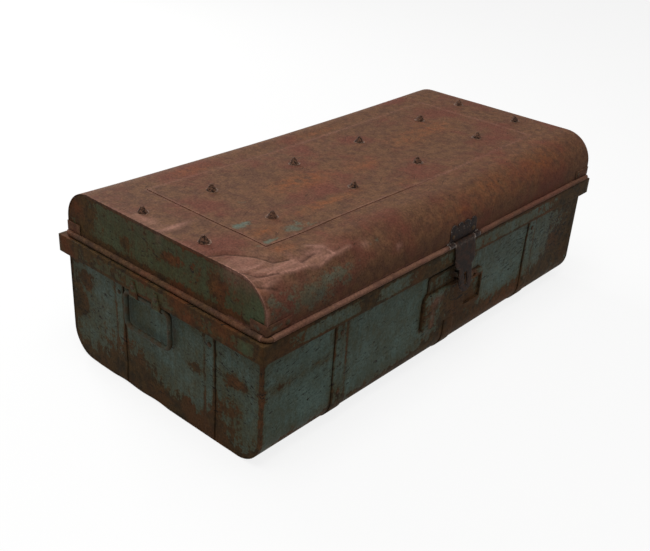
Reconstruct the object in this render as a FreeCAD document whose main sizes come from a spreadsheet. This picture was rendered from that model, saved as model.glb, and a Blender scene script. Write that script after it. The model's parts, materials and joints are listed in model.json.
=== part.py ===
import FreeCAD, Part
import math
import os
import re
import Sketcher

# Old tin trunk: a folded sheet base with a raised band round its mouth, and a low lid with rounded
# long edges, flat ends and a wired lower edge. The front faces -Y, the floor is Z = 0.

V = FreeCAD.Vector
UP = V(0, 0, 1)

# Driving sizes in millimetres
SIZES = {
    # Sheet work
    "sheet": (1.0, "thickness of the box sheet"),
    "lip": (1.0, "wrapper sheet standing past an end panel"),
    "seam_flange": (10.0, "depth of an end panel's folded flange"),
    "seam_gap": (0.1, "room between a flange and the wrapper"),
    # Base
    "base_len": (913.0, "length of the base"),
    "base_dep": (452.0, "depth of the base"),
    "base_radius": (50.0, "rounding of the long bottom edges"),
    "ledge_z": (224.5, "height of the ledge that the lid sits on"),
    # Band round the mouth
    "band_proud": (11.0, "how far the band stands out from the walls"),
    "band_hgt": (31.0, "height of the band"),
    "neck_set": (8.5, "how far the neck is set in from the walls"),
    "neck_hgt": (14.0, "height of the neck above the ledge"),
    # Straps
    "strap_thk": (1.5, "thickness of the straps"),
    "strap_wid": (30.0, "width of a belly strap"),
    "strap_gap": (280.0, "outer belly straps from their middle"),
    "strap_set": (-8.0, "middle of the outer belly straps"),
    "end_strap_wid": (22.0, "width of an end strap"),
    "end_strap_gap": (106.0, "end straps from their middle"),
    "end_strap_set": (-11.0, "middle of the end straps"),
    "end_strap_low": (1.0, "end strap's foot above the base sheet"),
    # Lid
    "lid_over_len": (1.0, "lid longer than the base"),
    "lid_over_dep": (2.0, "lid deeper than the base"),
    "lid_hgt": (88.5, "lid top above the ledge"),
    "lid_radius": (58.0, "rounding of the long top edges"),
    "lid_set_x": (1.0, "lid sits to the right of the base"),
    "lid_set_y": (-4.3, "lid sits in front of the base"),
    "seat_gap": (0.3, "room between bead and ledge"),
    "wire_r": (3.5, "radius of the rim wire"),
    "wire_play": (0.05, "room round the rim wire"),
    "wire_bend": (9.0, "bend of the rim wire at the corners"),
    "panel_end": (88.0, "lid's end to the raised panel"),
    "panel_side": (93.0, "lid's long side to the raised panel"),
    "panel_raise": (2.0, "height of the raised panel"),
    # Studs on the lid
    "stud_r": (8.2, "radius of a stud's cone"),
    "stud_tip_r": (2.6, "radius of a stud's tip"),
    "stud_hgt": (8.4, "height of a stud's cone"),
    "stud_washer_r": (11.0, "radius of a stud's washer"),
    "stud_washer_thk": (1.2, "thickness of a stud's washer"),
    "stud_row": (69.0, "stud rows from the middle"),
    "stud_end": (34.0, "lid's ends to the outer stud columns"),
    "stud_step": (139.0, "outer to middle stud columns"),
    "stud_inner": (90.0, "inner stud columns from their middle"),
    "stud_set": (-6.0, "middle of the stud columns on the lid"),
    # Corner clips on the lid
    "corner_len": (48.0, "corner clip along the long side"),
    "corner_dep": (32.0, "corner clip along the end"),
    "corner_hgt": (16.0, "height of a corner clip"),
    "corner_thk": (1.2, "thickness of a corner clip"),
    "bead_room": (0.5, "room between the bead and what lies over it"),
    # Lock
    "lock_x": (12.0, "middle of the lock, hasp and middle strap"),
    "lock_len": (178.0, "length of the lock case"),
    "lock_hgt": (72.0, "height of the lock case"),
    "lock_room": (43.5, "band to the lock case"),
    "lock_deep": (7.0, "how far the lock case stands out"),
    "lock_radius": (11.0, "corner radius of the lock case"),
    "lock_bevel": (3.5, "bevel round the lock case"),
    "recess_len": (50.0, "length of the sunk field in the lock case"),
    "recess_hgt": (46.0, "height of the sunk field"),
    "recess_deep": (4.0, "depth of the sunk field"),
    "recess_edge": (7.0, "sunk field to the case's right edge"),
    "rivet_hole_r": (4.0, "radius of the empty rivet hole"),
    "rivet_hole_in": (7.5, "empty rivet hole below the case's upper edge"),
    "backing_len": (124.0, "length of the plate over the lock case"),
    "backing_room": (12.5, "band to the plate over the lock case"),
    "backing_set": (-17.0, "middle of that plate from the lock's middle"),
    "backing_radius": (6.0, "corner radius of that plate"),
    "backing_thk": (1.5, "thickness of that plate"),
    "strap_room": (2.0, "room between the lock case and the middle strap"),
    # Hasp and staple
    "hasp_thk": (2.0, "thickness of the hasp leaf"),
    "hasp_gap": (0.4, "room between the seated leaf and the band"),
    "hasp_wid": (58.0, "width of the hasp leaf"),
    "hasp_drop": (46.0, "length of the leaf's wide part"),
    "hasp_radius": (13.0, "rounding under the leaf's wide part"),
    "tongue_wid": (38.0, "width of the hasp tongue"),
    "hasp_reach": (92.0, "hinge line to the tongue's tip"),
    "slot_wid": (9.0, "width of the hasp slot"),
    "slot_len": (24.0, "length of the hasp slot"),
    "slot_mid": (68.0, "hinge line to the slot's middle"),
    "barrel_len": (92.0, "length of the hasp's barrel"),
    "barrel_gap": (0.4, "room between neighbouring knuckles"),
    "notch_room": (0.5, "room round the barrel in the lid's edge"),
    "hasp_plate_len": (77.0, "length of the hasp plate"),
    "hasp_plate_hgt": (32.0, "height of the hasp plate"),
    "hasp_plate_thk": (1.2, "thickness of the hasp plate"),
    "staple_r": (2.0, "radius of the staple's wire"),
    "staple_half": (7.0, "half the staple's span"),
    "staple_eye": (4.5, "room for a shackle in front of the seated leaf"),
    "staple_clear": (0.6, "room past the staple's nose"),
    # Handles
    "handle_set": (16.0, "middle of a handle along its end"),
    "bail_r": (4.0, "radius of the bail's wire"),
    "bail_wid": (104.0, "bail width between wire centres"),
    "bail_drop": (64.0, "bail height between wire centres"),
    "bail_bend": (12.0, "corner bend of the bail"),
    "bail_play": (0.1, "room round the bail in its clips"),
    "ear_thk": (1.5, "thickness of a handle clip"),
    "ear_wid": (20.0, "width of a handle clip at the bail"),
    "ear_top": (8.0, "width of a handle clip at its top"),
    "ear_rise": (20.0, "handle clip's height on the band"),
    "ear_gap": (27.0, "handle clips from the handle's middle"),
    "ear_drop": (0.4, "room between the band and a clip's curl"),
    # Hinges
    "hinge_gap": (270.0, "hinges from the middle"),
    "hinge_wid": (60.0, "width of a hinge"),
    "hinge_thk": (1.5, "thickness of a hinge leaf"),
    "hinge_low": (4.0, "hinge leaf above the band's lower edge"),
    "hinge_rise": (20.0, "hinge leaf's height on the lid"),
    "knuckle_len": (24.0, "length of the lid leaf's knuckle"),
    "pin_r": (2.0, "radius of a hinge pin"),
    "pin_play": (0.08, "room round a hinge pin"),
    "pin_over": (1.5, "hinge pin standing past its knuckles"),
    # Rivets
    "rivet_r": (4.5, "radius of a rivet head at its foot"),
    "rivet_top_r": (3.0, "radius of a rivet head at its top"),
    "rivet_hgt": (1.8, "height of a rivet head"),
    "rivet_high": (24.0, "upper strap rivets below the band"),
    "rivet_low": (9.0, "lower strap rivets above the bottom bend"),
}

# Sizes that follow from the driving ones
DERIVED = {
    "half_len": "base_len / 2",
    "half_dep": "base_dep / 2",
    "base_low": "strap_thk",
    "wall_top": "ledge_z - sheet",
    "band_x": "half_len + band_proud",
    "band_y": "half_dep + band_proud",
    "band_low": "ledge_z - band_hgt",
    "end_face": "half_len - lip",
    "bore_r": "wire_r + wire_play",
    "bead_r": "bore_r + sheet",
    "bead_z": "ledge_z + seat_gap + bead_r",
    "lid_len": "base_len + lid_over_len",
    "lid_dep": "base_dep + lid_over_dep",
    "bead_x": "lid_len / 2 - lip - sheet + bead_r",
    "bead_y": "lid_dep / 2 - sheet + bead_r",
    "bead_top": "bead_z + bead_r + bead_room",
    "lid_top_z": "ledge_z + lid_hgt",
    "lid_back": "lid_set_y + lid_dep / 2",
    "panel_x": "lid_len / 2 - panel_end",
    "panel_y": "lid_dep / 2 - panel_side",
    "stud_outer": "lid_len / 2 - stud_end",
    "stud_mid": "stud_outer - stud_step",
    "barrel_y": "lid_set_y - bead_y",
    "leaf_back": "band_y + hasp_gap + barrel_y",
    "hasp_reach_out": "hasp_thk + staple_eye + 2 * staple_r + staple_clear",
    "hasp_rest": "asin(hasp_reach_out / (slot_mid + slot_len / 2))",
    "staple_z": "bead_z - slot_mid",
    "staple_nose": "barrel_y - leaf_back - hasp_thk - staple_eye - staple_r",
    "lock_top": "band_low - lock_room",
    "lock_low": "lock_top - lock_hgt",
    "recess_set": "lock_len / 2 - recess_edge - recess_len / 2",
    "ear_r": "bail_r + bail_play + ear_thk",
    "bail_x": "band_x + ear_thk - ear_r",
    "bail_z": "band_low - ear_drop - ear_r",
    "knuckle_r": "pin_r + pin_play + hinge_thk",
    "hinge_y": "band_y + knuckle_r",
    "strap_turn": "strap_thk + base_radius",
}

doc = FreeCAD.newDocument("tin_trunk")
sizes = doc.addObject("Spreadsheet::Sheet", "sizes")
for row, (alias, (number, note)) in enumerate(SIZES.items(), start=1):
    sizes.set(f"A{row}", note)
    sizes.set(f"B{row}", str(number))
    sizes.setAlias(f"B{row}", alias)
doc.recompute()

WORD = re.compile(r"[a-z][a-z0-9_]*")
SUB_PARTS = []


def bound(words):
    """Write an expression with every size's name pointing at its cell."""
    def swap(match):
        word = match.group(0)
        if word in DERIVED:
            return "(" + bound(DERIVED[word]) + ")"
        if word in SIZES:
            return "sizes." + word
        return word
    return WORD.sub(swap, str(words))


def value(words):
    """The number that an expression gives now."""
    found = sizes.evalExpression(bound(words))
    return float(getattr(found, "Value", found))


def new_body(label, at=("0", "0", "0"), turned=False):
    """A body named for its piece, placed by expressions, or turned half round for the other side."""
    body = doc.addObject("PartDesign::Body", label)
    body.Label = label
    if turned:
        body.Placement = FreeCAD.Placement(V(0, 0, 0), FreeCAD.Rotation(UP, 180))
    for axis, words in zip("xyz", at):
        if words != "0":
            body.setExpression(f"Placement.Base.{axis}", bound(words))
    SUB_PARTS.append(body)
    return body


def new_sketch(body, role, offset):
    """A sketch on one of the body's own planes, moved along that plane's normal."""
    plane = next(item for item in body.Origin.OriginFeatures if item.Role == role)
    sketch = body.newObject("Sketcher::SketchObject", body.Label + "_sketch")
    sketch.AttachmentSupport = (plane, [""])
    sketch.MapMode = "FlatFace"
    sketch.setExpression("AttachmentOffset.Base.z", bound(offset))
    return sketch


def pin_point(sketch, geometry, end, across, along):
    """Hold one point of a sketch at the place that two expressions give."""
    for kind, words in (("DistanceX", across), ("DistanceY", along)):
        held = Sketcher.Constraint(kind, -1, 1, geometry, end, value(words))
        index = sketch.addConstraint(held)
        sketch.setExpression(f"Constraints[{index}]", bound(words))


def hold_radius(sketch, geometry, radius):
    index = sketch.addConstraint(Sketcher.Constraint("Radius", geometry, value(radius)))
    sketch.setExpression(f"Constraints[{index}]", bound(radius))


def arc_between(start, end, radius, turn):
    """An arc of at most half a circle, turning left (1) or right (-1) on its way."""
    chord = end - start
    rise = math.sqrt(max(radius ** 2 - (chord.Length / 2) ** 2, 0))
    left = V(-chord.y, chord.x, 0).normalize()
    centre = (start + end) / 2 + left * (rise * turn)
    first, last = (start, end) if turn > 0 else (end, start)
    low = math.atan2(first.y - centre.y, first.x - centre.x)
    high = math.atan2(last.y - centre.y, last.x - centre.x)
    if high < low:
        high += 2 * math.pi
    return Part.ArcOfCircle(Part.Circle(centre, UP, radius), low, high)


def outline(sketch, corners, closed=True):
    """Draw corners (across, along), or (across, along, radius, turn) where an arc leaves one."""
    spots = [V(value(corner[0]), value(corner[1]), 0) for corner in corners]
    count = len(corners) if closed else len(corners) - 1
    base = sketch.GeometryCount
    ends = []
    for step in range(count):
        start = spots[step]
        end = spots[(step + 1) % len(spots)]
        corner = corners[step]
        if len(corner) == 2:
            sketch.addGeometry(Part.LineSegment(start, end), False)
            ends.append((1, 2))
        else:
            sketch.addGeometry(arc_between(start, end, value(corner[2]), corner[3]), False)
            ends.append((1, 2) if corner[3] > 0 else (2, 1))
    for step in range(count if closed else count - 1):
        after = (step + 1) % count
        joint = Sketcher.Constraint("Coincident", base + step, ends[step][1], base + after, ends[after][0])
        sketch.addConstraint(joint)
    for step in range(count):
        pin_point(sketch, base + step, ends[step][0], corners[step][0], corners[step][1])
        if len(corners[step]) > 2:
            hold_radius(sketch, base + step, corners[step][2])
    if not closed:
        pin_point(sketch, base + count - 1, ends[-1][1], corners[-1][0], corners[-1][1])


def circle(sketch, across, along, radius):
    spot = V(value(across), value(along), 0)
    index = sketch.addGeometry(Part.Circle(spot, UP, value(radius)), False)
    pin_point(sketch, index, 3, across, along)
    hold_radius(sketch, index, radius)


def rectangle(low_x, low_y, high_x, high_y):
    return [(low_x, low_y), (high_x, low_y), (high_x, high_y), (low_x, high_y)]


def rounded(low_x, low_y, high_x, high_y, radius):
    """A rectangle's corners with the same arc at each."""
    return [
        (f"{low_x} + {radius}", low_y),
        (f"{high_x} - {radius}", low_y, radius, 1),
        (high_x, f"{low_y} + {radius}"),
        (high_x, f"{high_y} - {radius}", radius, 1),
        (f"{high_x} - {radius}", high_y),
        (f"{low_x} + {radius}", high_y, radius, 1),
        (low_x, f"{high_y} - {radius}"),
        (low_x, f"{low_y} + {radius}", radius, 1),
    ]


def dome(half, flat, crown, radius, up):
    """An end's outline: one flat side, and two rounded corners on the other."""
    rise = f"({crown}) - ({radius})" if up else f"({crown}) + ({radius})"
    near = f"-({half})" if up else f"({half})"
    far = f"({half})" if up else f"-({half})"
    near_in = f"{near} + ({radius})" if up else f"{near} - ({radius})"
    far_in = f"{far} - ({radius})" if up else f"{far} + ({radius})"
    return [
        (near, flat),
        (far, flat),
        (far, rise, radius, 1),
        (far_in, crown),
        (near_in, crown, radius, 1),
        (near, rise),
    ]


def shell(half, flat, crown, radius, thick, up):
    """The same outline as a sheet that is open on its flat side."""
    rise = f"({crown}) - ({radius})" if up else f"({crown}) + ({radius})"
    inner = f"({crown}) - {thick}" if up else f"({crown}) + {thick}"
    side = 1 if up else -1
    flank = f"({half})"
    slim = f"({half}) - {thick}"
    return [
        (flank, flat),
        (flank, rise, radius, side),
        (f"{flank} - ({radius})", crown),
        (f"-{flank} + ({radius})", crown, radius, side),
        (f"-{flank}", rise),
        (f"-{flank}", flat),
        (f"-({slim})", flat),
        (f"-({slim})", rise, f"({radius}) - {thick}", -side),
        (f"-{flank} + ({radius})", inner),
        (f"{flank} - ({radius})", inner, f"({radius}) - {thick}", -side),
        (slim, rise),
        (slim, flat),
    ]


def grow(body, role, start, length, draw, taper=None):
    """Pad a drawing along its plane's normal, drawn in towards the end where a taper is given."""
    sketch = new_sketch(body, role, start)
    draw(sketch)
    pad = body.newObject("PartDesign::Pad", body.Label + "_pad")
    pad.Profile = sketch
    pad.setExpression("Length", bound(length))
    if taper:
        pad.setExpression("TaperAngle", bound(taper))
    doc.recompute()
    return pad


def add(body, role, low, high, draw, taper=None):
    """Grow the body between two places along the X, Y or Z axis that the plane faces."""
    start = f"-({high})" if role == "XZ_Plane" else low
    return grow(body, role, start, f"({high}) - ({low})", draw, taper)


def cut(body, role, low, high, draw):
    """Cut the body between two places, and make sure that something went."""
    before = body.Shape.Volume
    start = f"-({low})" if role == "XZ_Plane" else high
    sketch = new_sketch(body, role, start)
    draw(sketch)
    pocket = body.newObject("PartDesign::Pocket", body.Label + "_pocket")
    pocket.Profile = sketch
    pocket.setExpression("Length", bound(f"({high}) - ({low})"))
    doc.recompute()
    if body.Shape.Volume >= before:
        raise RuntimeError(body.Label + ": a cut took nothing away")


def sweep(body, role, offset, path, closed, start_role, start_offset, start_at, radius):
    """A round wire along a path of lines and arcs, from a circle at the place where it starts."""
    spine = new_sketch(body, role, offset)
    outline(spine, path, closed)
    ring = new_sketch(body, start_role, start_offset)
    circle(ring, start_at[0], start_at[1], radius)
    pipe = body.newObject("PartDesign::AdditivePipe", body.Label + "_pipe")
    pipe.Profile = ring
    pipe.Spine = (spine, [])
    doc.recompute()
    expected = math.pi * value(radius) ** 2 * spine.Shape.Length
    if abs(body.Shape.Volume / expected - 1) > 0.001:
        raise RuntimeError(body.Label + ": the wire's volume is wrong")


def base_wrapper():
    """Front, bottom and back in one bent sheet."""
    body = new_body("base_wrapper")
    profile = shell("half_dep", "wall_top", "base_low", "base_radius", "sheet", up=False)
    add(body, "YZ_Plane", "-half_len", "half_len", lambda s: outline(s, profile))


def base_end(label, turned):
    """End panel with a flange folded in behind the wrapper."""
    body = new_body(label, turned=turned)
    skin = "sheet + seam_gap"
    outer = dome(f"half_dep - ({skin})", "wall_top", f"base_low + {skin}",
                 f"base_radius - ({skin})", up=False)
    inner = dome(f"half_dep - ({skin}) - sheet", "wall_top + sheet", f"base_low + {skin} + sheet",
                 f"base_radius - ({skin}) - sheet", up=False)
    add(body, "YZ_Plane", "-end_face", "-end_face + seam_flange", lambda s: outline(s, outer))
    cut(body, "YZ_Plane", "-end_face + sheet", "-end_face + seam_flange", lambda s: outline(s, inner))


def band_profile(wall, proud):
    """Folded band, ledge and neck, seen along its side of the box."""
    neck = f"{wall} - neck_set"
    return [
        (wall, "band_low"),
        (proud, "band_low"),
        (proud, "ledge_z"),
        (neck, "ledge_z"),
        (neck, "ledge_z + neck_hgt"),
        (f"{neck} - sheet", "ledge_z + neck_hgt"),
        (f"{neck} - sheet", "ledge_z - sheet"),
        (f"{proud} - sheet", "ledge_z - sheet"),
        (f"{proud} - sheet", "band_low + sheet"),
        (wall, "band_low + sheet"),
    ]


def band(label, along_x, turned):
    """One side of the band, mitred at both ends."""
    body = new_body(label, turned=turned)
    wall, proud, end = ("half_dep", "band_y", "band_x") if along_x else ("half_len", "band_x", "band_y")
    plane = "YZ_Plane" if along_x else "XZ_Plane"
    add(body, plane, f"-{end}", end, lambda s: outline(s, band_profile(wall, proud)))
    inside = f"{wall} - neck_set - 2 * sheet"
    for side in ("", "-"):
        tip = f"{side}({end})"
        heel = f"{side}({end} - {proud} + ({inside}))"
        wedge = [(tip, proud), (tip, inside), (heel, inside)]
        if not along_x:
            wedge = [(along, across) for across, along in wedge]
        cut(body, "XY_Plane", "band_low", "ledge_z + neck_hgt", lambda s, w=wedge: outline(s, w))


def belly_strap(label, middle, front_top):
    """Strap that wraps the base from front to back under its bottom."""
    body = new_body(label, at=(middle, "0", "0"))
    outer = "half_dep + strap_thk"
    flat = "half_dep - base_radius"
    strip = [
        (f"-({outer})", front_top),
        (f"-({outer})", "strap_turn", "strap_turn", 1),
        (f"-({flat})", "0"),
        (flat, "0", "strap_turn", 1),
        (outer, "strap_turn"),
        (outer, "band_low"),
        ("half_dep", "band_low"),
        ("half_dep", "strap_turn", "base_radius", -1),
        (flat, "strap_thk"),
        (f"-({flat})", "strap_thk", "base_radius", -1),
        ("-half_dep", "strap_turn"),
        ("-half_dep", front_top),
    ]
    add(body, "YZ_Plane", "-strap_wid / 2", "strap_wid / 2", lambda s: outline(s, strip))


def end_strap(label, middle, turned):
    """Upright strap on an end panel, from the bottom sheet to the band."""
    place = f"-({middle})" if turned else middle
    body = new_body(label, at=("0", place, "0"), turned=turned)
    foot = "base_low + sheet + end_strap_low"
    strip = rectangle("-end_strap_wid / 2", foot, "end_strap_wid / 2", "band_low")
    add(body, "YZ_Plane", "-end_face - strap_thk", "-end_face", lambda s: outline(s, strip))


def lock_backing():
    """Plate over the lock case that carries the staple."""
    body = new_body("lock_backing", at=("lock_x", "0", "0"))
    low = "(backing_set - backing_len / 2)"
    high = "(backing_set + backing_len / 2)"
    top = "(band_low - backing_room)"
    plate = [
        (low, "lock_top"),
        (high, "lock_top"),
        (high, f"{top} - backing_radius", "backing_radius", 1),
        (f"{high} - backing_radius", top),
        (f"{low} + backing_radius", top, "backing_radius", 1),
        (low, f"{top} - backing_radius"),
    ]
    add(body, "XZ_Plane", "-half_dep - backing_thk", "-half_dep", lambda s: outline(s, plate))


def lock_case():
    """Bevelled lock case with a sunk field and an empty rivet hole."""
    body = new_body("lock_case", at=("lock_x", "0", "0"))
    face = "(half_dep + lock_deep)"
    case = rounded("-lock_len / 2", "lock_low", "lock_len / 2", "lock_top", "lock_radius")
    pad = add(body, "XZ_Plane", f"-{face}", "-half_dep", lambda s: outline(s, case))
    front = -value(face)
    edges = []
    for number, edge in enumerate(pad.Shape.Edges, start=1):
        if max(abs(vertex.Y - front) for vertex in edge.Vertexes) < 0.001:
            edges.append(f"Edge{number}")
    bevel = body.newObject("PartDesign::Chamfer", "lock_case_bevel")
    bevel.Base = (pad, edges)
    bevel.setExpression("Size", bound("lock_bevel"))
    doc.recompute()
    middle = "(lock_low + lock_hgt / 2)"
    field = rectangle("recess_set - recess_len / 2", f"{middle} - recess_hgt / 2",
                      "recess_set + recess_len / 2", f"{middle} + recess_hgt / 2")
    cut(body, "XZ_Plane", f"-{face}", f"recess_deep - {face}", lambda s: outline(s, field))
    hole_z = "lock_top - rivet_hole_in"
    cut(body, "XZ_Plane", f"-{face}", "-half_dep",
        lambda s: circle(s, "recess_set", hole_z, "rivet_hole_r"))


def staple():
    """Bent wire that the hasp's slot goes over."""
    body = new_body("staple", at=("lock_x", "0", "0"))
    foot = "-half_dep - backing_thk"
    turn = "staple_nose + staple_half"
    path = [
        (foot, "staple_z + staple_half"),
        (turn, "staple_z + staple_half", "staple_half", 1),
        ("staple_nose", "staple_z", "staple_half", 1),
        (turn, "staple_z - staple_half"),
        (foot, "staple_z - staple_half"),
    ]
    sweep(body, "YZ_Plane", "0", path, False, "XZ_Plane", f"-({foot})",
          ("0", "staple_z + staple_half"), "staple_r")


def handle_ear(label, side, turned):
    """Clip on the band that curls round the bail's upper bar."""
    across = f"handle_set {side} ear_gap"
    place = f"-({across})" if turned else across
    body = new_body(label, at=("0", place, "0"), turned=turned)
    half = "ear_wid / 2"
    tip = "ear_top / 2"
    tab = [
        (f"-{half}", "bail_z"),
        (half, "bail_z"),
        (half, "band_low"),
        (tip, "band_low + ear_rise"),
        (f"-{tip}", "band_low + ear_rise"),
        (f"-{half}", "band_low"),
    ]
    add(body, "XZ_Plane", f"-{half}", half, lambda s: circle(s, "-bail_x", "bail_z", "ear_r"))
    add(body, "YZ_Plane", "-band_x - ear_thk", "-band_x", lambda s: outline(s, tab))
    cut(body, "XZ_Plane", f"-{half}", half, lambda s: circle(s, "-bail_x", "bail_z", "bail_r + bail_play"))


def bail(label, turned):
    """Closed wire loop that hangs from its upper bar."""
    place = "-handle_set" if turned else "handle_set"
    body = new_body(label, at=("0", place, "0"), turned=turned)
    loop = rounded("-bail_wid / 2", "(bail_z - bail_drop)", "bail_wid / 2", "bail_z", "bail_bend")
    sweep(body, "YZ_Plane", "-bail_x", loop, True, "XZ_Plane", "0",
          ("-bail_x", "bail_z - bail_drop"), "bail_r")


def hinge_base_leaf(label, middle):
    """Leaf on the band with a knuckle at each side of the lid's knuckle."""
    body = new_body(label, at=(middle, "0", "0"))
    half = "hinge_wid / 2"
    inner = "(knuckle_len / 2 + barrel_gap)"
    plate = rectangle(f"-{half}", "band_low + hinge_low", half, "bead_z")
    add(body, "XZ_Plane", "band_y", "band_y + hinge_thk", lambda s: outline(s, plate))
    add(body, "YZ_Plane", inner, half, lambda s: circle(s, "hinge_y", "bead_z", "knuckle_r"))
    add(body, "YZ_Plane", f"-{half}", f"-{inner}", lambda s: circle(s, "hinge_y", "bead_z", "knuckle_r"))
    gap = rectangle(f"-{inner}", "bead_z - knuckle_r - barrel_gap", inner, "bead_z + knuckle_r")
    cut(body, "XZ_Plane", "band_y", "band_y + hinge_thk", lambda s: outline(s, gap))
    cut(body, "YZ_Plane", f"-{half}", half, lambda s: circle(s, "hinge_y", "bead_z", "pin_r + pin_play"))


def hinge_lid_leaf(label, middle):
    """Leaf on the lid's back, cranked out over the bead to the hinge line."""
    body = new_body(label, at=(middle, "0", "0"))
    half = "hinge_wid / 2"
    knuckle = "knuckle_len / 2"
    back = "(hinge_y + knuckle_r)"
    crank = [
        (back, "bead_z"),
        (back, "bead_top + hinge_thk"),
        ("lid_back + hinge_thk", "bead_top + hinge_thk"),
        ("lid_back + hinge_thk", "bead_top + hinge_rise"),
        ("lid_back", "bead_top + hinge_rise"),
        ("lid_back", "bead_top"),
        (f"{back} - hinge_thk", "bead_top"),
        (f"{back} - hinge_thk", "bead_z"),
    ]
    plate = rectangle(f"-{half}", "bead_top", half, "bead_top + hinge_rise")
    add(body, "YZ_Plane", f"-{knuckle}", knuckle, lambda s: outline(s, crank))
    add(body, "YZ_Plane", f"-{knuckle}", knuckle, lambda s: circle(s, "hinge_y", "bead_z", "knuckle_r"))
    add(body, "XZ_Plane", "lid_back", "lid_back + hinge_thk", lambda s: outline(s, plate))
    cut(body, "YZ_Plane", f"-{knuckle}", knuckle,
        lambda s: circle(s, "hinge_y", "bead_z", "pin_r + pin_play"))


def hinge_pin(label, middle):
    body = new_body(label, at=(middle, "0", "0"))
    end = "hinge_wid / 2 + pin_over"
    add(body, "YZ_Plane", f"-({end})", end, lambda s: circle(s, "hinge_y", "bead_z", "pin_r"))


LID_AT = ("lid_set_x", "lid_set_y", "0")
HASP_AT = ("lock_x", "lid_set_y", "0")


def bead(body, role, end, across):
    """Sheet rolled into a tube along one lower edge of the lid."""
    def tube(sketch):
        circle(sketch, across, "bead_z", "bead_r")
        circle(sketch, across, "bead_z", "bore_r")
    add(body, role, f"-({end})", end, tube)


def wire_notches(body, role, line, edge, low, high):
    """Room for the rim wire's bends at the lower corners of a lid sheet."""
    for side in ("-", ""):
        room = rectangle(f"{side}({line} - wire_bend)", "bead_z - bead_r", f"{side}({edge})", "bead_top")
        cut(body, role, low, high, lambda s, r=room: outline(s, r))


def lid_top():
    """Front, top and back in one bent sheet with a raised panel, rolled front and back edges."""
    body = new_body("lid_top", at=LID_AT)
    profile = shell("lid_dep / 2", "bead_z", "lid_top_z", "lid_radius", "sheet", up=True)
    add(body, "YZ_Plane", "-lid_len / 2", "lid_len / 2", lambda s: outline(s, profile))
    for across in ("-bead_y", "bead_y"):
        bead(body, "YZ_Plane", "bead_x - wire_bend", across)
    panel = rectangle("-panel_x", "-panel_y", "panel_x", "panel_y")
    under = rectangle("sheet - panel_x", "sheet - panel_y", "panel_x - sheet", "panel_y - sheet")
    crown = "lid_top_z + panel_raise"
    add(body, "XY_Plane", "lid_top_z", crown, lambda s: outline(s, panel))
    cut(body, "XY_Plane", "lid_top_z - sheet", f"{crown} - sheet", lambda s: outline(s, under))
    side = "(barrel_len / 2 + notch_room)"
    middle = "(lock_x - lid_set_x)"
    notch = rectangle(f"{middle} - {side}", "bead_z - bead_r - notch_room",
                      f"{middle} + {side}", "bead_z + bead_r + notch_room")
    cut(body, "XZ_Plane", "-bead_y - bead_r", "sheet - lid_dep / 2 + seam_gap", lambda s: outline(s, notch))
    wire_notches(body, "XZ_Plane", "bead_x", "lid_len / 2", "-lid_dep / 2", "lid_dep / 2")


def lid_end(label, turned):
    """Flat lid end with a flange folded in under the top sheet and a rolled lower edge."""
    body = new_body(label, at=LID_AT, turned=turned)
    face = "(lid_len / 2 - lip)"
    skin = "sheet + seam_gap"
    outer = dome(f"lid_dep / 2 - ({skin})", "bead_z", f"lid_top_z - ({skin})",
                 f"lid_radius - ({skin})", up=True)
    inner = dome(f"lid_dep / 2 - ({skin}) - sheet", "bead_z - sheet", f"lid_top_z - ({skin}) - sheet",
                 f"lid_radius - ({skin}) - sheet", up=True)
    add(body, "YZ_Plane", f"-{face}", f"seam_flange - {face}", lambda s: outline(s, outer))
    cut(body, "YZ_Plane", f"sheet - {face}", f"seam_flange - {face}", lambda s: outline(s, inner))
    bead(body, "XZ_Plane", "bead_y - wire_bend", "-bead_x")
    wire_notches(body, "YZ_Plane", "bead_y", "lid_dep / 2", f"-{face}", f"seam_flange - {face}")


def lid_rim_wire():
    """Closed wire inside the rolled edge, which is also the hasp's hinge pin."""
    body = new_body("lid_rim_wire", at=LID_AT)
    loop = rounded("-bead_x", "-bead_y", "bead_x", "bead_y", "wire_bend")
    sweep(body, "XY_Plane", "bead_z", loop, True, "YZ_Plane", "0", ("-bead_y", "bead_z"), "wire_r")


def corner_clip(label, side_x, side_y):
    """Angle plate over one lower corner of the lid."""
    body = new_body(label, at=LID_AT)
    end, long_side = "lid_len / 2", "lid_dep / 2"
    angle = [
        (f"{end} + corner_thk", f"{long_side} + corner_thk"),
        (f"{end} - corner_len", f"{long_side} + corner_thk"),
        (f"{end} - corner_len", long_side),
        (end, long_side),
        (end, f"{long_side} - corner_dep"),
        (f"{end} + corner_thk", f"{long_side} - corner_dep"),
    ]
    angle = [(f"{side_x}({across})", f"{side_y}({along})") for across, along in angle]
    add(body, "XY_Plane", "bead_top", "bead_top + corner_hgt", lambda s: outline(s, angle))


def lid_studs():
    """Two rows of cone studs on washers, the outer ones beside the raised panel."""
    body = new_body("lid_studs", at=("lid_set_x + stud_set", "lid_set_y", "0"))
    levels = (("lid_top_z", ("stud_outer",)), ("lid_top_z + panel_raise", ("stud_inner", "stud_mid")))
    taper = "-atan((stud_r - stud_tip_r) / stud_hgt)"

    def draw(columns, radius):
        def all_columns(sketch):
            for column in columns:
                for side in ("-", ""):
                    for row in ("-stud_row", "stud_row"):
                        circle(sketch, side + column, row, radius)
        return all_columns
    for level, columns in levels:
        cone_foot = f"{level} + stud_washer_thk"
        add(body, "XY_Plane", level, cone_foot, draw(columns, "stud_washer_r"))
        add(body, "XY_Plane", cone_foot, f"{cone_foot} + stud_hgt", draw(columns, "stud_r"), taper)


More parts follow.
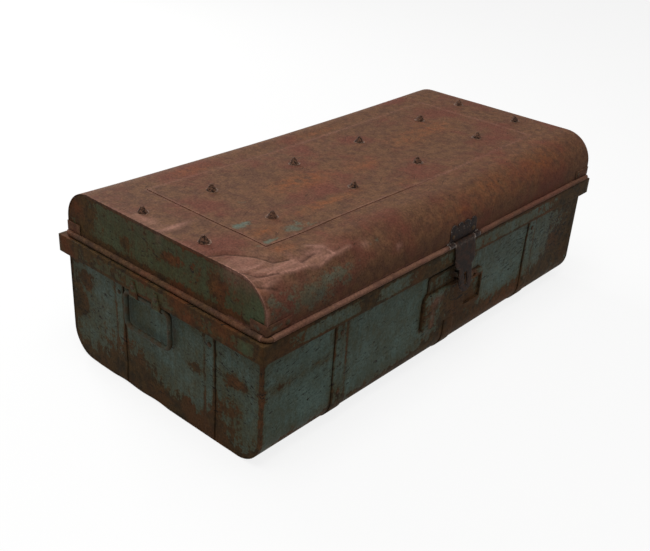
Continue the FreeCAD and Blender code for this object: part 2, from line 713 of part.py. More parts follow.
def hasp_plate():
    """Scalloped plate on the lid's front with a knuckle at each end of the hasp's barrel."""
    body = new_body("hasp_plate", at=HASP_AT)
    front, arc_r = "(lid_dep / 2 + hasp_plate_thk)", "(lid_radius + hasp_plate_thk)"
    bend = "(lid_top_z - lid_radius)"
    foot = "(bead_z + bead_r + notch_room)"
    top = f"({foot} + hasp_plate_hgt)"
    crown = "(lid_top_z + hasp_plate_thk)"
    # The plate's section follows the lid's front wall and then its bend
    section = [
        ("-lid_dep / 2", foot),
        ("-lid_dep / 2", bend, "lid_radius", -1),
        ("lid_radius - lid_dep / 2", "lid_top_z"),
        ("lid_radius - lid_dep / 2", crown, arc_r, 1),
        (f"-{front}", bend),
        (f"-{front}", foot),
    ]
    half = "hasp_plate_len / 2"
    add(body, "YZ_Plane", f"-{half}", half, lambda s: outline(s, section))
    # Everything above the scallops goes
    lobe = "(hasp_plate_len / 8)"
    rim = f"({top} - {lobe})"
    waste = [(f"-{half}", crown), (f"-{half}", rim, lobe, -1)]
    for step in range(-3, 4):
        waste.append((f"{step} * {lobe}", top if step % 2 else rim, lobe, -1))
    waste += [(half, rim), (half, crown)]
    cut(body, "XZ_Plane", f"-{front}", "lid_radius - lid_dep / 2", lambda s: outline(s, waste))
    inner, outer = "(hasp_wid / 2 + barrel_gap)", "barrel_len / 2"
    for low, high in ((inner, outer), (f"-{outer}", f"-{inner}")):
        web = rectangle(low, "bead_z", high, f"{foot} + hasp_plate_thk")
        add(body, "XZ_Plane", f"-{front}", "-lid_dep / 2", lambda s, w=web: outline(s, w))
        add(body, "YZ_Plane", low, high, lambda s: circle(s, "-bead_y", "bead_z", "bead_r"))
        cut(body, "YZ_Plane", low, high, lambda s: circle(s, "-bead_y", "bead_z", "bore_r"))


def hasp_leaf():
    """Hasp leaf with its knuckle on the rim wire, hanging just clear of the staple's nose."""
    body = new_body("hasp_leaf", at=("lock_x", "barrel_y", "bead_z"))
    body.Placement.Rotation = FreeCAD.Rotation(V(-1, 0, 0), value("hasp_rest"))
    body.setExpression("Placement.Rotation.Angle", bound("hasp_rest"))
    wide, slim = "hasp_wid / 2", "tongue_wid / 2"
    turn = "(tongue_wid / 2)"
    leaf = [
        (f"-{wide}", "0"),
        (f"-{wide}", "hasp_radius - hasp_drop", "hasp_radius", 1),
        (f"hasp_radius - {wide}", "-hasp_drop"),
        (f"-{slim}", "-hasp_drop"),
        (f"-{slim}", f"{turn} - hasp_reach", turn, 1),
        ("0", "-hasp_reach", turn, 1),
        (slim, f"{turn} - hasp_reach"),
        (slim, "-hasp_drop"),
        (f"{wide} - hasp_radius", "-hasp_drop", "hasp_radius", 1),
        (wide, "hasp_radius - hasp_drop"),
        (wide, "0"),
    ]
    edge = "(slot_wid / 2)"
    low, high = "(-slot_mid - slot_len / 2)", "(-slot_mid + slot_len / 2)"
    slot = rounded(f"-{edge}", low, edge, high, "slot_wid / 4")
    front, back = "-leaf_back - hasp_thk", "-leaf_back"
    add(body, "XZ_Plane", front, back, lambda s: outline(s, leaf))
    add(body, "YZ_Plane", f"-{wide}", wide, lambda s: circle(s, "0", "0", "bead_r"))
    cut(body, "XZ_Plane", front, back, lambda s: outline(s, slot))
    cut(body, "YZ_Plane", f"-{wide}", wide, lambda s: circle(s, "0", "0", "bore_r"))


def rivets(label, role, face, places, at=("0", "0", "0"), turned=False):
    """Low rivet heads on the front or right of the part, or turned half round to the back or left."""
    body = new_body(label, at=at, turned=turned)

    def draw(sketch):
        for across, along in places:
            circle(sketch, across, along, "rivet_r")
    grow(body, role, face, "rivet_hgt", draw, "-atan((rivet_r - rivet_top_r) / rivet_hgt)")


def strap_rivets():
    """Heads near the ends of every strap's upright stretches."""
    high, low = "band_low - rivet_high", "strap_turn + rivet_low"
    outer = ("strap_set - strap_gap", "strap_set + strap_gap")
    front = [(middle, height) for middle in outer for height in (high, low)]
    back = [(f"-({middle})", height) for middle in outer + ("lock_x",) for height in (high, low)]
    face = "half_dep + strap_thk"
    rivets("front_strap_rivets", "XZ_Plane", face, front)
    rivets("back_strap_rivets", "XZ_Plane", face, back, turned=True)
    across = [f"-(end_strap_set {side} end_strap_gap)" for side in "-+"]
    ends = [(middle, height) for middle in across for height in (high, low)]
    rivets("right_end_rivets", "YZ_Plane", "end_face + strap_thk", ends)
    rivets("left_end_rivets", "YZ_Plane", "end_face + strap_thk", ends, turned=True)


def fitting_rivets():
    """Heads on the handle clips, hinge leaves, corner clips and hasp plate."""
    clips = [(f"-(handle_set {side} ear_gap)", "band_low + ear_rise / 2") for side in "-+"]
    rivets("right_handle_rivets", "YZ_Plane", "band_x + ear_thk", clips)
    rivets("left_handle_rivets", "YZ_Plane", "band_x + ear_thk", clips, turned=True)
    inset = "(2 * rivet_r)"
    columns = [f"{side}hinge_gap {step} (hinge_wid / 2 - {inset})" for side in ("-", "") for step in "-+"]
    low, high = f"band_low + hinge_low + {inset}", f"bead_top + hinge_rise - {inset}"
    rivets("hinge_base_rivets", "XZ_Plane", "band_y + hinge_thk", [(c, low) for c in columns], turned=True)
    rivets("hinge_lid_rivets", "XZ_Plane", "lid_back + hinge_thk", [(c, high) for c in columns], turned=True)
    column, middle = f"(lid_len / 2 - corner_len + {inset})", "bead_top + corner_hgt / 2"
    ends = [("-" + column, middle), (column, middle)]
    face = "lid_dep / 2 + corner_thk"
    rivets("lid_front_corner_rivets", "XZ_Plane", face, ends, at=LID_AT)
    rivets("lid_back_corner_rivets", "XZ_Plane", face, ends, at=LID_AT, turned=True)
    plate = [(f"{side}(hasp_plate_len / 2 - {inset})", f"bead_top + {inset}") for side in ("-", "")]
    rivets("hasp_plate_rivets", "XZ_Plane", "lid_dep / 2 + hasp_plate_thk", plate, at=HASP_AT)


base_wrapper()
base_end("base_left_end", False)
base_end("base_right_end", True)
band("band_back", True, False)
band("band_front", True, True)
band("band_right", False, False)
band("band_left", False, True)
belly_strap("belly_strap_left", "strap_set - strap_gap", "band_low")
belly_strap("belly_strap_middle", "lock_x", "lock_low - strap_room")
belly_strap("belly_strap_right", "strap_set + strap_gap", "band_low")
for end_name, turned in (("left", False), ("right", True)):
    end_strap(f"{end_name}_end_strap_a", "end_strap_set - end_strap_gap", turned)
    end_strap(f"{end_name}_end_strap_b", "end_strap_set + end_strap_gap", turned)
    handle_ear(f"{end_name}_handle_clip_a", "-", turned)
    handle_ear(f"{end_name}_handle_clip_b", "+", turned)
    bail(f"{end_name}_handle_bail", turned)
lock_backing()
lock_case()
staple()
for side_name, middle in (("left", "-hinge_gap"), ("right", "hinge_gap")):
    hinge_base_leaf(f"{side_name}_hinge_base_leaf", middle)
    hinge_lid_leaf(f"{side_name}_hinge_lid_leaf", middle)
    hinge_pin(f"{side_name}_hinge_pin", middle)
lid_top()
lid_end("lid_left_end", False)
lid_end("lid_right_end", True)
lid_rim_wire()
for name_y, side_y in (("front", "-"), ("back", "")):
    for name_x, side_x in (("left", "-"), ("right", "")):
        corner_clip(f"lid_{name_y}_{name_x}_corner", side_x, side_y)
lid_studs()
hasp_plate()
hasp_leaf()
strap_rivets()
fitting_rivets()

doc.recompute()
for item in doc.Objects:
    if "Invalid" in item.State or "Error" in item.State:
        raise RuntimeError(item.Label + " did not build")
for part in SUB_PARTS:
    if part.Shape.isNull() or not part.Shape.isValid() or not part.Shape.Solids:
        raise RuntimeError(part.Label + " has no sound shape")

os.makedirs("parts", exist_ok=True)
for part in SUB_PARTS:
    part.Shape.exportStep(f"parts/{part.Label}.step")
    print(part.Label, len(part.Shape.Solids), round(part.Shape.Volume, 1))
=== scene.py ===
"""Looks of an old tin trunk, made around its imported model. Lengths are metres in the model's own frame."""

import json
import math

import bmesh
import bpy
import numpy as np
from mathutils import Matrix, Vector
from mathutils.kdtree import KDTree


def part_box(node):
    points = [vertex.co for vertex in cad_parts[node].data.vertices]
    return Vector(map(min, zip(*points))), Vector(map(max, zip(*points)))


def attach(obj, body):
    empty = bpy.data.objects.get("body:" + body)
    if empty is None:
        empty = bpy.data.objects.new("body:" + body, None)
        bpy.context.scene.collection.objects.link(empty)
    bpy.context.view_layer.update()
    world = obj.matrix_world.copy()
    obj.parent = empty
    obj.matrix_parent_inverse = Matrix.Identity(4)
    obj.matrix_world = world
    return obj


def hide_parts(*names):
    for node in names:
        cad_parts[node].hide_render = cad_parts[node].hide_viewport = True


MM = 0.001
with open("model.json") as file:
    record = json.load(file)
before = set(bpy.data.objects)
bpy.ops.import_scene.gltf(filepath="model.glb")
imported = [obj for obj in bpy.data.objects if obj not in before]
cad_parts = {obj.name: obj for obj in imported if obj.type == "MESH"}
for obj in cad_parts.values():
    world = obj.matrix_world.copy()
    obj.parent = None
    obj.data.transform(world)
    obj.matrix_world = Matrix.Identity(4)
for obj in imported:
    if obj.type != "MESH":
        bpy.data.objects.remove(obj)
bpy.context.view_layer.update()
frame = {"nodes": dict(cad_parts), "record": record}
nodes = frame["nodes"]

# Sizes that no box gives: the lid's bends, its corner clips' sheet, and the height of the inside's middle
LID_BEND = 58 * MM
CLIP_SHEET = 1.2 * MM
INSIDE_Z = 150 * MM

# Sizes that the frame gives
lid_low, lid_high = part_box("lid_top")
wall_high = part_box("base_wrapper")[1]
band_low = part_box("band_front")[0]
LID_X = (lid_low.x + lid_high.x) / 2
LID_Y = (lid_low.y + lid_high.y) / 2
LID_HALF_LEN = (lid_high.x - lid_low.x) / 2
BEAD_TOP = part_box("lid_front_left_corner")[0].z
LID_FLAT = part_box("lid_studs")[0].z
PANEL_RAISE = lid_high.z - LID_FLAT
LID_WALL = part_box("lid_back_left_corner")[1].y - LID_Y - CLIP_SHEET
LOCK_X = (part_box("hasp_leaf")[0].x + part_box("hasp_leaf")[1].x) / 2


def linear(words):
    """An sRGB hex colour as linear red, green, blue and full alpha."""
    parts = [int(words[i:i + 2], 16) / 255 for i in (1, 3, 5)]
    return [p / 12.92 if p <= 0.04045 else ((p + 0.055) / 1.055) ** 2.4 for p in parts] + [1.0]


def add(tree, kind, links=None, out=None, **settings):
    """One node with its properties and its inputs, by name or number. It gives the output to use."""
    node = tree.nodes.new(kind)
    for name, value in settings.items():
        setattr(node, name, value)
    for name, value in (links or {}).items():
        socket = node.inputs[name]
        if isinstance(value, bpy.types.NodeSocket):
            tree.links.new(value, socket)
        else:
            socket.default_value = value
    if out is not None:
        return node.outputs[out]
    return next((socket for socket in node.outputs if socket.enabled), None)


def new_material(name):
    """An empty material and its tree."""
    material = bpy.data.materials.new(name)
    material.use_nodes = True
    material.node_tree.nodes.clear()
    return material, material.node_tree


def blotches(tree, where, size, low, high):
    """Mask of soft patches about size across: none below low, whole above high."""
    cloud = add(tree, "ShaderNodeTexNoise",
                {"Vector": where, "Scale": 1 / size, "Detail": 5.0, "Roughness": 0.62})
    return add(tree, "ShaderNodeMapRange", {"Value": cloud, "From Min": low, "From Max": high},
               interpolation_type="SMOOTHSTEP")


def dashes(tree, where, turn, size, reach):
    """Mask of short scrapes of about that size: few where reach is 0, many where it is 1."""
    more_by_reach = 0.12
    along = add(tree, "ShaderNodeMapping", {"Vector": where, "Rotation": turn, "Scale": size},
                vector_type="TEXTURE")
    field = add(tree, "ShaderNodeTexNoise",
                {"Vector": along, "Scale": 1.0, "Detail": 2.0, "Roughness": 0.5, "Distortion": 1.1})
    level = add(tree, "ShaderNodeMath", {0: reach, 1: more_by_reach, 2: field}, operation="MULTIPLY_ADD")
    return add(tree, "ShaderNodeMapRange", {"Value": level, "From Min": 0.69, "From Max": 0.73},
               interpolation_type="SMOOTHSTEP")


# Inputs of a node that mixes two colours: how much, from which and to which
BY, FROM, TO = 0, 6, 7

# Noise that breaks up the paint: how large each kind is, and how much it counts as wear
CLOUD_SIZE, CLOUD_SHARE = 95 * MM, 0.64
MOTTLE_SIZE, MOTTLE_SHARE = 14 * MM, 0.92
GRIT_SIZE, GRIT_SHARE = 3.4 * MM, 0.22
STREAK_SHARE = 0.45
# Wear at which paint comes off, and between which rust stains it
CHIP_LEVEL = 1.59
STAIN_FROM, STAIN_TO = 1.17, 1.60
# How far an edge and a seam wear the paint beside them, and how much at most
EDGE_REACH, EDGE_WEAR = 6 * MM, 0.42
SEAM_REACH, SEAM_WEAR = 7 * MM, 0.30
# Dirt and painted shade in a seam or crease are whole up to the first distance and gone at the second
DIRT_SHADE_FROM, DIRT_SHADE_TO = 0.4 * MM, 2.6 * MM
# Patches of thin paint and of old, dark rust
THIN_SIZE = 60 * MM
OLD_SIZE = 15 * MM
# Colours of fresh rust, and of what is rubbed pale and of painted highlights
FRESH_RUST = "#7c4a2d"
PALE_RUB_AND_HIGHLIGHT = "#9a7061"
# Heights in millimetres: pits in rust, the uneven sheet, and the step down into a chip or a scrape
PIT_HEIGHT, SWELL_HEIGHT, STEP_HEIGHT = 0.5, 0.55, -0.16
# How much rougher the grit makes the surface
GRIT_ROUGHNESS = 0.16


def painted_sheet(name, wear, paint, deep, stain, rust, dark, red, line):
    """Brushed oil paint on rolled sheet steel, worn through to rust.

    The paint is dull and chalky with chipped edges, the rust rough, mottled and pitted, and the paint beside
    the rust is stained by it in streaks. The wear says how long streaks and scrapes are, and how soft the
    chips are at their edges."""
    material, tree = new_material(name)
    where = add(tree, "ShaderNodeTexCoord", out="Object")
    bare, orange, rubbed, edge, seam, marks = (
        add(tree, "ShaderNodeAttribute", attribute_name=layer, out="Fac")
        for layer in ("bare", "orange", "rubbed", "edge", "seam", "marks"))
    clouds = add(tree, "ShaderNodeTexNoise",
                 {"Vector": where, "Scale": 1 / CLOUD_SIZE, "Detail": 6.0, "Roughness": 0.62})
    mottle = add(tree, "ShaderNodeTexNoise",
                 {"Vector": where, "Scale": 1 / MOTTLE_SIZE, "Detail": 6.0, "Roughness": 0.66})
    grit = add(tree, "ShaderNodeTexNoise",
               {"Vector": where, "Scale": 1 / GRIT_SIZE, "Detail": 3.0, "Roughness": 0.6})
    along = add(tree, "ShaderNodeMapping", {"Vector": where, "Scale": wear["streak"]}, vector_type="TEXTURE")
    streak = add(tree, "ShaderNodeTexNoise", {"Vector": along, "Scale": 1.0, "Detail": 4.0, "Roughness": 0.6})

    # How far the paint is gone: the piece's own map, broken up by noise, with more at edges and seams
    gone = bare
    for noise, share in ((clouds, CLOUD_SHARE), (mottle, MOTTLE_SHARE), (grit, GRIT_SHARE),
                         (streak, STREAK_SHARE)):
        gone = add(tree, "ShaderNodeMath", {0: noise, 1: share, 2: gone}, operation="MULTIPLY_ADD")
    for away, reach, most in ((edge, EDGE_REACH, EDGE_WEAR), (seam, SEAM_REACH, SEAM_WEAR)):
        beside = add(tree, "ShaderNodeMapRange",
                     {"Value": away, "From Min": 0.0, "From Max": reach, "To Min": most, "To Max": 0.0})
        gone = add(tree, "ShaderNodeMath", {0: gone, 1: beside}, operation="ADD")
    chipped = add(tree, "ShaderNodeMapRange",
                  {"Value": gone, "From Min": CHIP_LEVEL - wear["soft"],
                   "From Max": CHIP_LEVEL + wear["soft"]},
                  interpolation_type="SMOOTHSTEP")
    stained = add(tree, "ShaderNodeMapRange",
                  {"Value": gone, "From Min": STAIN_FROM, "From Max": STAIN_TO, "To Max": 0.9})

    # The coat of paint, another shade where it is thin, stained beside the rust
    thin = blotches(tree, where, THIN_SIZE, low=0.38, high=0.64)
    coat = add(tree, "ShaderNodeMix", {BY: thin, FROM: linear(paint), TO: linear(deep)}, data_type="RGBA")
    coat = add(tree, "ShaderNodeMix", {BY: stained, FROM: coat, TO: linear(stain)}, data_type="RGBA")

    # The rust under it, dark in old spots, red in clouds and orange where it is fresh
    old = blotches(tree, where, OLD_SIZE, low=0.40, high=0.62)
    scale = add(tree, "ShaderNodeMix", {BY: old, FROM: linear(rust), TO: linear(dark)}, data_type="RGBA")
    young = add(tree, "ShaderNodeMapRange", {"Value": clouds, "From Min": 0.46, "From Max": 0.68},
                interpolation_type="SMOOTHSTEP")
    scale = add(tree, "ShaderNodeMix", {BY: young, FROM: scale, TO: linear(red)}, data_type="RGBA")
    fresh = add(tree, "ShaderNodeMapRange", {"Value": mottle, "From Min": 0.36, "From Max": 0.60})
    fresh = add(tree, "ShaderNodeMath", {0: fresh, 1: orange}, operation="MULTIPLY", use_clamp=True)
    scale = add(tree, "ShaderNodeMix", {BY: fresh, FROM: scale, TO: linear(FRESH_RUST)}, data_type="RGBA")

    # Scrapes, and rubbed places and painted highlights, over both
    colour = add(tree, "ShaderNodeMix", {BY: chipped, FROM: coat, TO: scale}, data_type="RGBA")
    scored = dashes(tree, where, wear["scrape_turn"], wear["scrape"], marks)
    colour = add(tree, "ShaderNodeMix", {BY: scored, FROM: colour, TO: linear(line)}, data_type="RGBA")
    pale_and_highlight = add(tree, "ShaderNodeMapRange",
               {"Value": streak, "From Min": 0.38, "From Max": 0.62, "To Min": 0.45, "To Max": 1.0})
    pale_and_highlight = add(tree, "ShaderNodeMath", {0: pale_and_highlight, 1: rubbed}, operation="MULTIPLY", use_clamp=True)
    colour = add(tree, "ShaderNodeMix", {BY: pale_and_highlight, FROM: colour, TO: linear(PALE_RUB_AND_HIGHLIGHT)}, data_type="RGBA")

    # Dirt and painted shade in the joint beside the next piece and along creases, and a fine unevenness all
    # over
    dirt_and_shade = add(tree, "ShaderNodeMapRange",
               {"Value": seam, "From Min": DIRT_SHADE_FROM, "From Max": DIRT_SHADE_TO, "To Min": 0.35, "To Max": 1.0})
    speck = add(tree, "ShaderNodeMapRange",
                {"Value": grit, "From Min": 0.34, "From Max": 0.69, "To Min": 1.12, "To Max": 0.66})
    uneven = add(tree, "ShaderNodeMapRange",
                 {"Value": mottle, "From Min": 0.3, "From Max": 0.7, "To Min": 0.84, "To Max": 1.16})
    shade = add(tree, "ShaderNodeMath", {0: dirt_and_shade, 1: speck}, operation="MULTIPLY")
    shade = add(tree, "ShaderNodeMath", {0: shade, 1: uneven}, operation="MULTIPLY")
    colour = add(tree, "ShaderNodeMix", {BY: 1.0, FROM: colour, TO: shade}, data_type="RGBA",
                 blend_type="MULTIPLY")

    rough = add(tree, "ShaderNodeMapRange", {"Value": chipped, "To Min": 0.50, "To Max": 0.64})
    rough = add(tree, "ShaderNodeMath", {0: grit, 1: GRIT_ROUGHNESS, 2: rough}, operation="MULTIPLY_ADD")
    pits = add(tree, "ShaderNodeMath", {0: grit, 1: chipped}, operation="MULTIPLY")
    height = add(tree, "ShaderNodeMath", {0: pits, 1: PIT_HEIGHT}, operation="MULTIPLY")
    for part, rise in ((mottle, SWELL_HEIGHT), (chipped, STEP_HEIGHT), (scored, STEP_HEIGHT)):
        height = add(tree, "ShaderNodeMath", {0: part, 1: rise, 2: height}, operation="MULTIPLY_ADD")
    bump = add(tree, "ShaderNodeBump", {"Height": height, "Distance": 1 * MM, "Strength": 0.8})
    shader = add(tree, "ShaderNodeBsdfPrincipled",
                 {"Base Color": colour, "Roughness": rough, "Normal": bump, "Specular IOR Level": 0.07})
    add(tree, "ShaderNodeOutputMaterial", {"Surface": shader})
    return material


# Grain of the iron, and how much it breaks up the rubbed places and painted highlights
IRON_GRIT, IRON_GRIT_SHARE = 2.2 * MM, 0.9
# How far an edge is rubbed, and how high rust stands against the grain
IRON_EDGE_REACH = 1.6 * MM
IRON_RUST_HEIGHT = 0.2


def worn_iron(name, skin, film, bright, patch):
    """Forged or rolled iron, dark with oil and paint, with a film of brown rust, edges bright from rubbing,
    and painted highlights where its map marks them.
    """
    material, tree = new_material(name)
    where = add(tree, "ShaderNodeTexCoord", out="Object")
    edge = add(tree, "ShaderNodeAttribute", attribute_name="edge", out="Fac")
    rubbed = add(tree, "ShaderNodeAttribute", attribute_name="rubbed", out="Fac")
    rusty = blotches(tree, where, patch, low=0.42, high=0.60)
    grit = add(tree, "ShaderNodeTexNoise",
               {"Vector": where, "Scale": 1 / IRON_GRIT, "Detail": 3.0, "Roughness": 0.6})
    colour = add(tree, "ShaderNodeMix", {BY: rusty, FROM: linear(skin), TO: linear(film)}, data_type="RGBA")
    wear = add(tree, "ShaderNodeMapRange",
               {"Value": edge, "From Min": 0.0, "From Max": IRON_EDGE_REACH,
                "To Min": EDGE_WEAR, "To Max": 0.0})
    wear = add(tree, "ShaderNodeMath", {0: wear, 1: rubbed}, operation="ADD")
    wear = add(tree, "ShaderNodeMath", {0: grit, 1: IRON_GRIT_SHARE, 2: wear}, operation="MULTIPLY_ADD")
    wear = add(tree, "ShaderNodeMapRange", {"Value": wear, "From Min": 0.75, "From Max": 1.15},
               interpolation_type="SMOOTHSTEP")
    colour = add(tree, "ShaderNodeMix", {BY: wear, FROM: colour, TO: linear(bright)}, data_type="RGBA")
    speck = add(tree, "ShaderNodeMapRange",
                {"Value": grit, "From Min": 0.3, "From Max": 0.7, "To Min": 0.7, "To Max": 1.2})
    colour = add(tree, "ShaderNodeMix", {BY: 1.0, FROM: colour, TO: speck}, data_type="RGBA",
                 blend_type="MULTIPLY")
    metal = add(tree, "ShaderNodeMapRange", {"Value": wear, "To Min": 0.05, "To Max": 0.7})
    rough = add(tree, "ShaderNodeMapRange", {"Value": wear, "To Min": 0.62, "To Max": 0.34})
    height = add(tree, "ShaderNodeMath", {0: rusty, 1: IRON_RUST_HEIGHT, 2: grit}, operation="MULTIPLY_ADD")
    bump = add(tree, "ShaderNodeBump", {"Height": height, "Distance": 0.8 * MM, "Strength": 0.9})
    shader = add(tree, "ShaderNodeBsdfPrincipled",
                 {"Base Color": colour, "Roughness": rough, "Metallic": metal, "Normal": bump,
                  "Specular IOR Level": 0.08})
    add(tree, "ShaderNodeOutputMaterial", {"Surface": shader})
    return material


# On upright walls rust runs down, and scrapes go along the wall, whichever way it faces
WALL_WEAR = {"streak": (8 * MM, 8 * MM, 75 * MM), "soft": 0.04,
             "scrape_turn": (0.0, -0.3, math.pi / 4), "scrape": (9 * MM, 40 * MM, 3.2 * MM)}
# On the lid streaks lie along it, and its chips have softer edges
LID_WEAR = {"streak": (90 * MM, 11 * MM, 30 * MM), "soft": 0.09,
            "scrape_turn": (0.0, 0.0, 0.5), "scrape": (30 * MM, 2.5 * MM, 2.5 * MM)}
# Base: chalky blue-green, chipped to brown
base_paint = painted_sheet("blue_green_oil_paint_on_steel", WALL_WEAR, paint="#5f7068", deep="#505b50",
                           stain="#474029", rust="#4b3924", dark="#33291c", red="#523722", line="#1e1812")
# Ends of the lid and band, and handle clips: a darker olive green
end_paint = painted_sheet("green_oil_paint_on_steel", WALL_WEAR, paint="#4d583f", deep="#434930",
                          stain="#473d25", rust="#4e3a22", dark="#33281b", red="#5c351f", line="#231b13")
# Lid: red-brown rust with a little of the paint left
lid_paint = painted_sheet("paint_worn_to_red_rust", LID_WEAR, paint="#596a62", deep="#57594a",
                          stain="#5b4d3b", rust="#684a36", dark="#593e30", red="#643c30", line="#402b20")
# Inside: dull grey-brown sheet
tin_inside = painted_sheet("bare_tin_gone_brown", WALL_WEAR, paint="#57534a", deep="#484238",
                           stain="#4a3d2c", rust="#564432", dark="#403327", red="#5a3d2b", line="#241e18")
# Ironwork: hasp plate and staple nearly black, the leaf browner and darkened as painted shade, wire and
# hinges grey-green and brown
dark_iron = worn_iron("dark_oiled_iron", skin="#1c1615", film="#2e2019", bright="#7f746d", patch=7 * MM)
# The leaf's colours are made darker to paint the shade that it lies in
rusty_leaf_and_shade = worn_iron("rusty_hasp_iron", skin="#1f1713", film="#35231a", bright="#6e5f54", patch=10 * MM)
wire_iron = worn_iron("rusty_iron_wire", skin="#41443a", film="#463a2b", bright="#837261", patch=16 * MM)
painted_iron = worn_iron("painted_hinge_iron", skin="#3b3a31", film="#463526", bright="#6e6356", patch=9 * MM)
# Fasteners: brown rivets, and studs of red-brown and black whose washers have a painted highlight on their
# rims
rivet_iron = worn_iron("rusty_rivet_iron", skin="#443a2c", film="#4f3a29", bright="#75655a", patch=5 * MM)
stud_iron = worn_iron("blackened_stud_iron", skin="#664838", film="#231813", bright="#927767", patch=3.5 * MM)

# Patches as seen on the object, in millimetres: middle, reach along x, y and z, and how strong
# Paint that is left
LEFT_PAINT = [
    ((-354, -64, 311), (16, 9, 30), 0.66), ((-331, -64, 311), (14, 8, 30), 0.50),
    ((-283, -120, 311), (40, 20, 30), 0.45), ((-357, -133, 311), (22, 8, 30), 0.80),
    ((-30, 130, 313), (70, 35, 40), 0.32), ((205, 108, 313), (40, 28, 40), 0.26),
    ((-290, 10, 313), (60, 45, 40), 0.22), ((272, 55, 313), (35, 25, 30), 0.24),
    ((-355, 150, 313), (45, 20, 40), 0.20), ((-300, -224, 280), (50, 25, 15), 0.26),
    ((-407, -220, 285), (42, 22, 18), 0.20), ((-447, -223, 280), (18, 14, 16), 0.24),
    ((-350, -228, 268), (120, 25, 28), 0.34), ((-210, -215, 296), (28, 20, 10), 0.28),
    ((-400, -231, 250), (90, 20, 18), 0.22), ((-467, -200, 205), (20, 14, 12), 0.40),
    ((-467, 10, 205), (20, 50, 20), 0.22), ((-370, -226, 110), (70, 25, 60), 0.12),
]
# Paint that is gone
BARE = [
    ((430, -226, 120), (90, 30, 110), 0.50), ((330, -226, 60), (80, 30, 40), 0.30),
    ((200, -226, 45), (110, 30, 24), 0.45), ((-190, -226, 22), (200, 30, 26), 0.36),
    ((30, -226, 45), (110, 30, 30), 0.60),
    ((-415, -226, 130), (35, 30, 12), 0.40), ((-335, -226, 135), (25, 30, 8), 0.30),
    ((-288, -226, 170), (14, 30, 14), 0.30), ((-288, -226, 58), (16, 30, 16), 0.40),
    ((20, -232, 112), (80, 12, 40), 0.35), ((-455, 65, 40), (30, 75, 45), 0.36),
    ((-455, -170, 128), (30, 26, 11), 0.50), ((-455, -85, 112), (30, 20, 8), 0.50),
    ((-455, -125, 40), (30, 14, 14), 0.50), ((-455, -65, 38), (30, 9, 8), 0.60),
    ((-455, 185, 155), (30, 16, 18), 0.60), ((-455, 205, 100), (30, 18, 18), 0.55),
    ((-455, -150, 70), (30, 40, 25), 0.20), ((-453, -130, 270), (20, 18, 18), 0.55),
    ((-453, -25, 275), (20, 20, 8), 0.55), ((-453, 80, 262), (20, 13, 10), 0.40),
    ((-453, 175, 270), (20, 35, 40), 0.45), ((-240, -237, 205), (28, 12, 20), 0.45),
    ((-70, -237, 205), (70, 12, 20), 0.35), ((420, -237, 205), (70, 12, 30), 0.40),
    ((-440, -237, 205), (30, 12, 30), 0.40), ((-457, -226, 110), (8, 8, 130), 0.40),
]
# Fresh, orange rust
FRESH = [
    ((-150, 0, 313), (62, 26, 40), 0.95), ((-185, -88, 313), (70, 11, 40), 0.75),
    ((-337, -102, 311), (22, 12, 40), 0.90), ((-352, -156, 311), (22, 12, 40), 0.80),
    ((-440, -208, 298), (10, 8, 8), 0.90), ((0, -20, 313), (40, 20, 40), 0.50),
    ((265, 20, 313), (55, 30, 40), 0.60), ((170, 15, 313), (50, 30, 40), 0.45),
    ((60, -222, 285), (250, 40, 30), 0.30), ((300, -200, 295), (150, 60, 45), 0.30),
    ((-10, -118, 313), (22, 12, 40), 0.35), ((-260, 150, 313), (40, 15, 40), 0.60),
    ((60, 150, 313), (60, 12, 40), 0.45), ((115, -205, 303), (50, 22, 13), 0.45),
    ((295, -212, 298), (42, 22, 13), 0.50), ((10, -224, 282), (35, 20, 8), 0.40),
    ((-455, -212, 300), (12, 12, 8), 0.60), ((-453, -130, 270), (20, 16, 16), 0.40),
    ((-453, -25, 275), (20, 18, 7), 0.70), ((-455, -170, 128), (30, 22, 9), 0.35),
    ((-455, 185, 155), (30, 15, 17), 0.25), ((76, -229, 134), (24, 6, 9), 0.90),
    ((-467, -120, 208), (20, 60, 14), 0.35), ((-457, -226, 110), (8, 8, 130), 0.45),
    ((200, -226, 45), (90, 30, 18), 0.40),
]
# Places rubbed pale, and painted highlights on the lid's crumpled front corner, the handle's bail and the
# lock's edges
RUBBED_AND_HIGHLIGHTS = [
    ((-430, -5, 313), (28, 6, 20), 1.00), ((-440, 45, 313), (10, 28, 20), 0.70),
    ((-425, -165, 310), (36, 28, 25), 1.00), ((-365, -194, 305), (45, 13, 14), 0.90),
    ((-315, -193, 306), (18, 14, 14), 1.00), ((-440, -205, 300), (20, 12, 14), 0.60),
    ((-165, -226, 275), (6, 8, 6), 0.90), ((-230, -212, 298), (10, 8, 6), 0.80),
    ((-470, -36, 160), (14, 10, 28), 0.35), ((-42, -232, 132), (14, 10, 8), 0.55),
    ((-52, -232, 92), (5, 10, 30), 0.50), ((66, -232, 152), (14, 10, 6), 0.50),
]
# Short dark scrapes
MARKS = [
    ((220, -226, 145), (130, 30, 60), 1.25), ((390, -226, 120), (80, 30, 75), 1.10),
    ((-360, -226, 135), (110, 30, 60), 0.75), ((-190, -226, 90), (110, 30, 60), 0.60),
    ((-455, -160, 140), (30, 70, 65), 0.75), ((-455, 165, 110), (30, 60, 75), 0.75),
    ((-455, 10, 80), (30, 90, 50), 0.55), ((-453, 20, 268), (20, 220, 40), 0.60),
    ((-330, -225, 270), (140, 25, 40), 0.55), ((20, -232, 112), (90, 12, 50), 0.80),
]

# How much of the near sides' wear the far ones have, and how far under the lid's flat top it ends
FAR_SHARE = 0.7
FAR_WEAR_END = 15 * MM
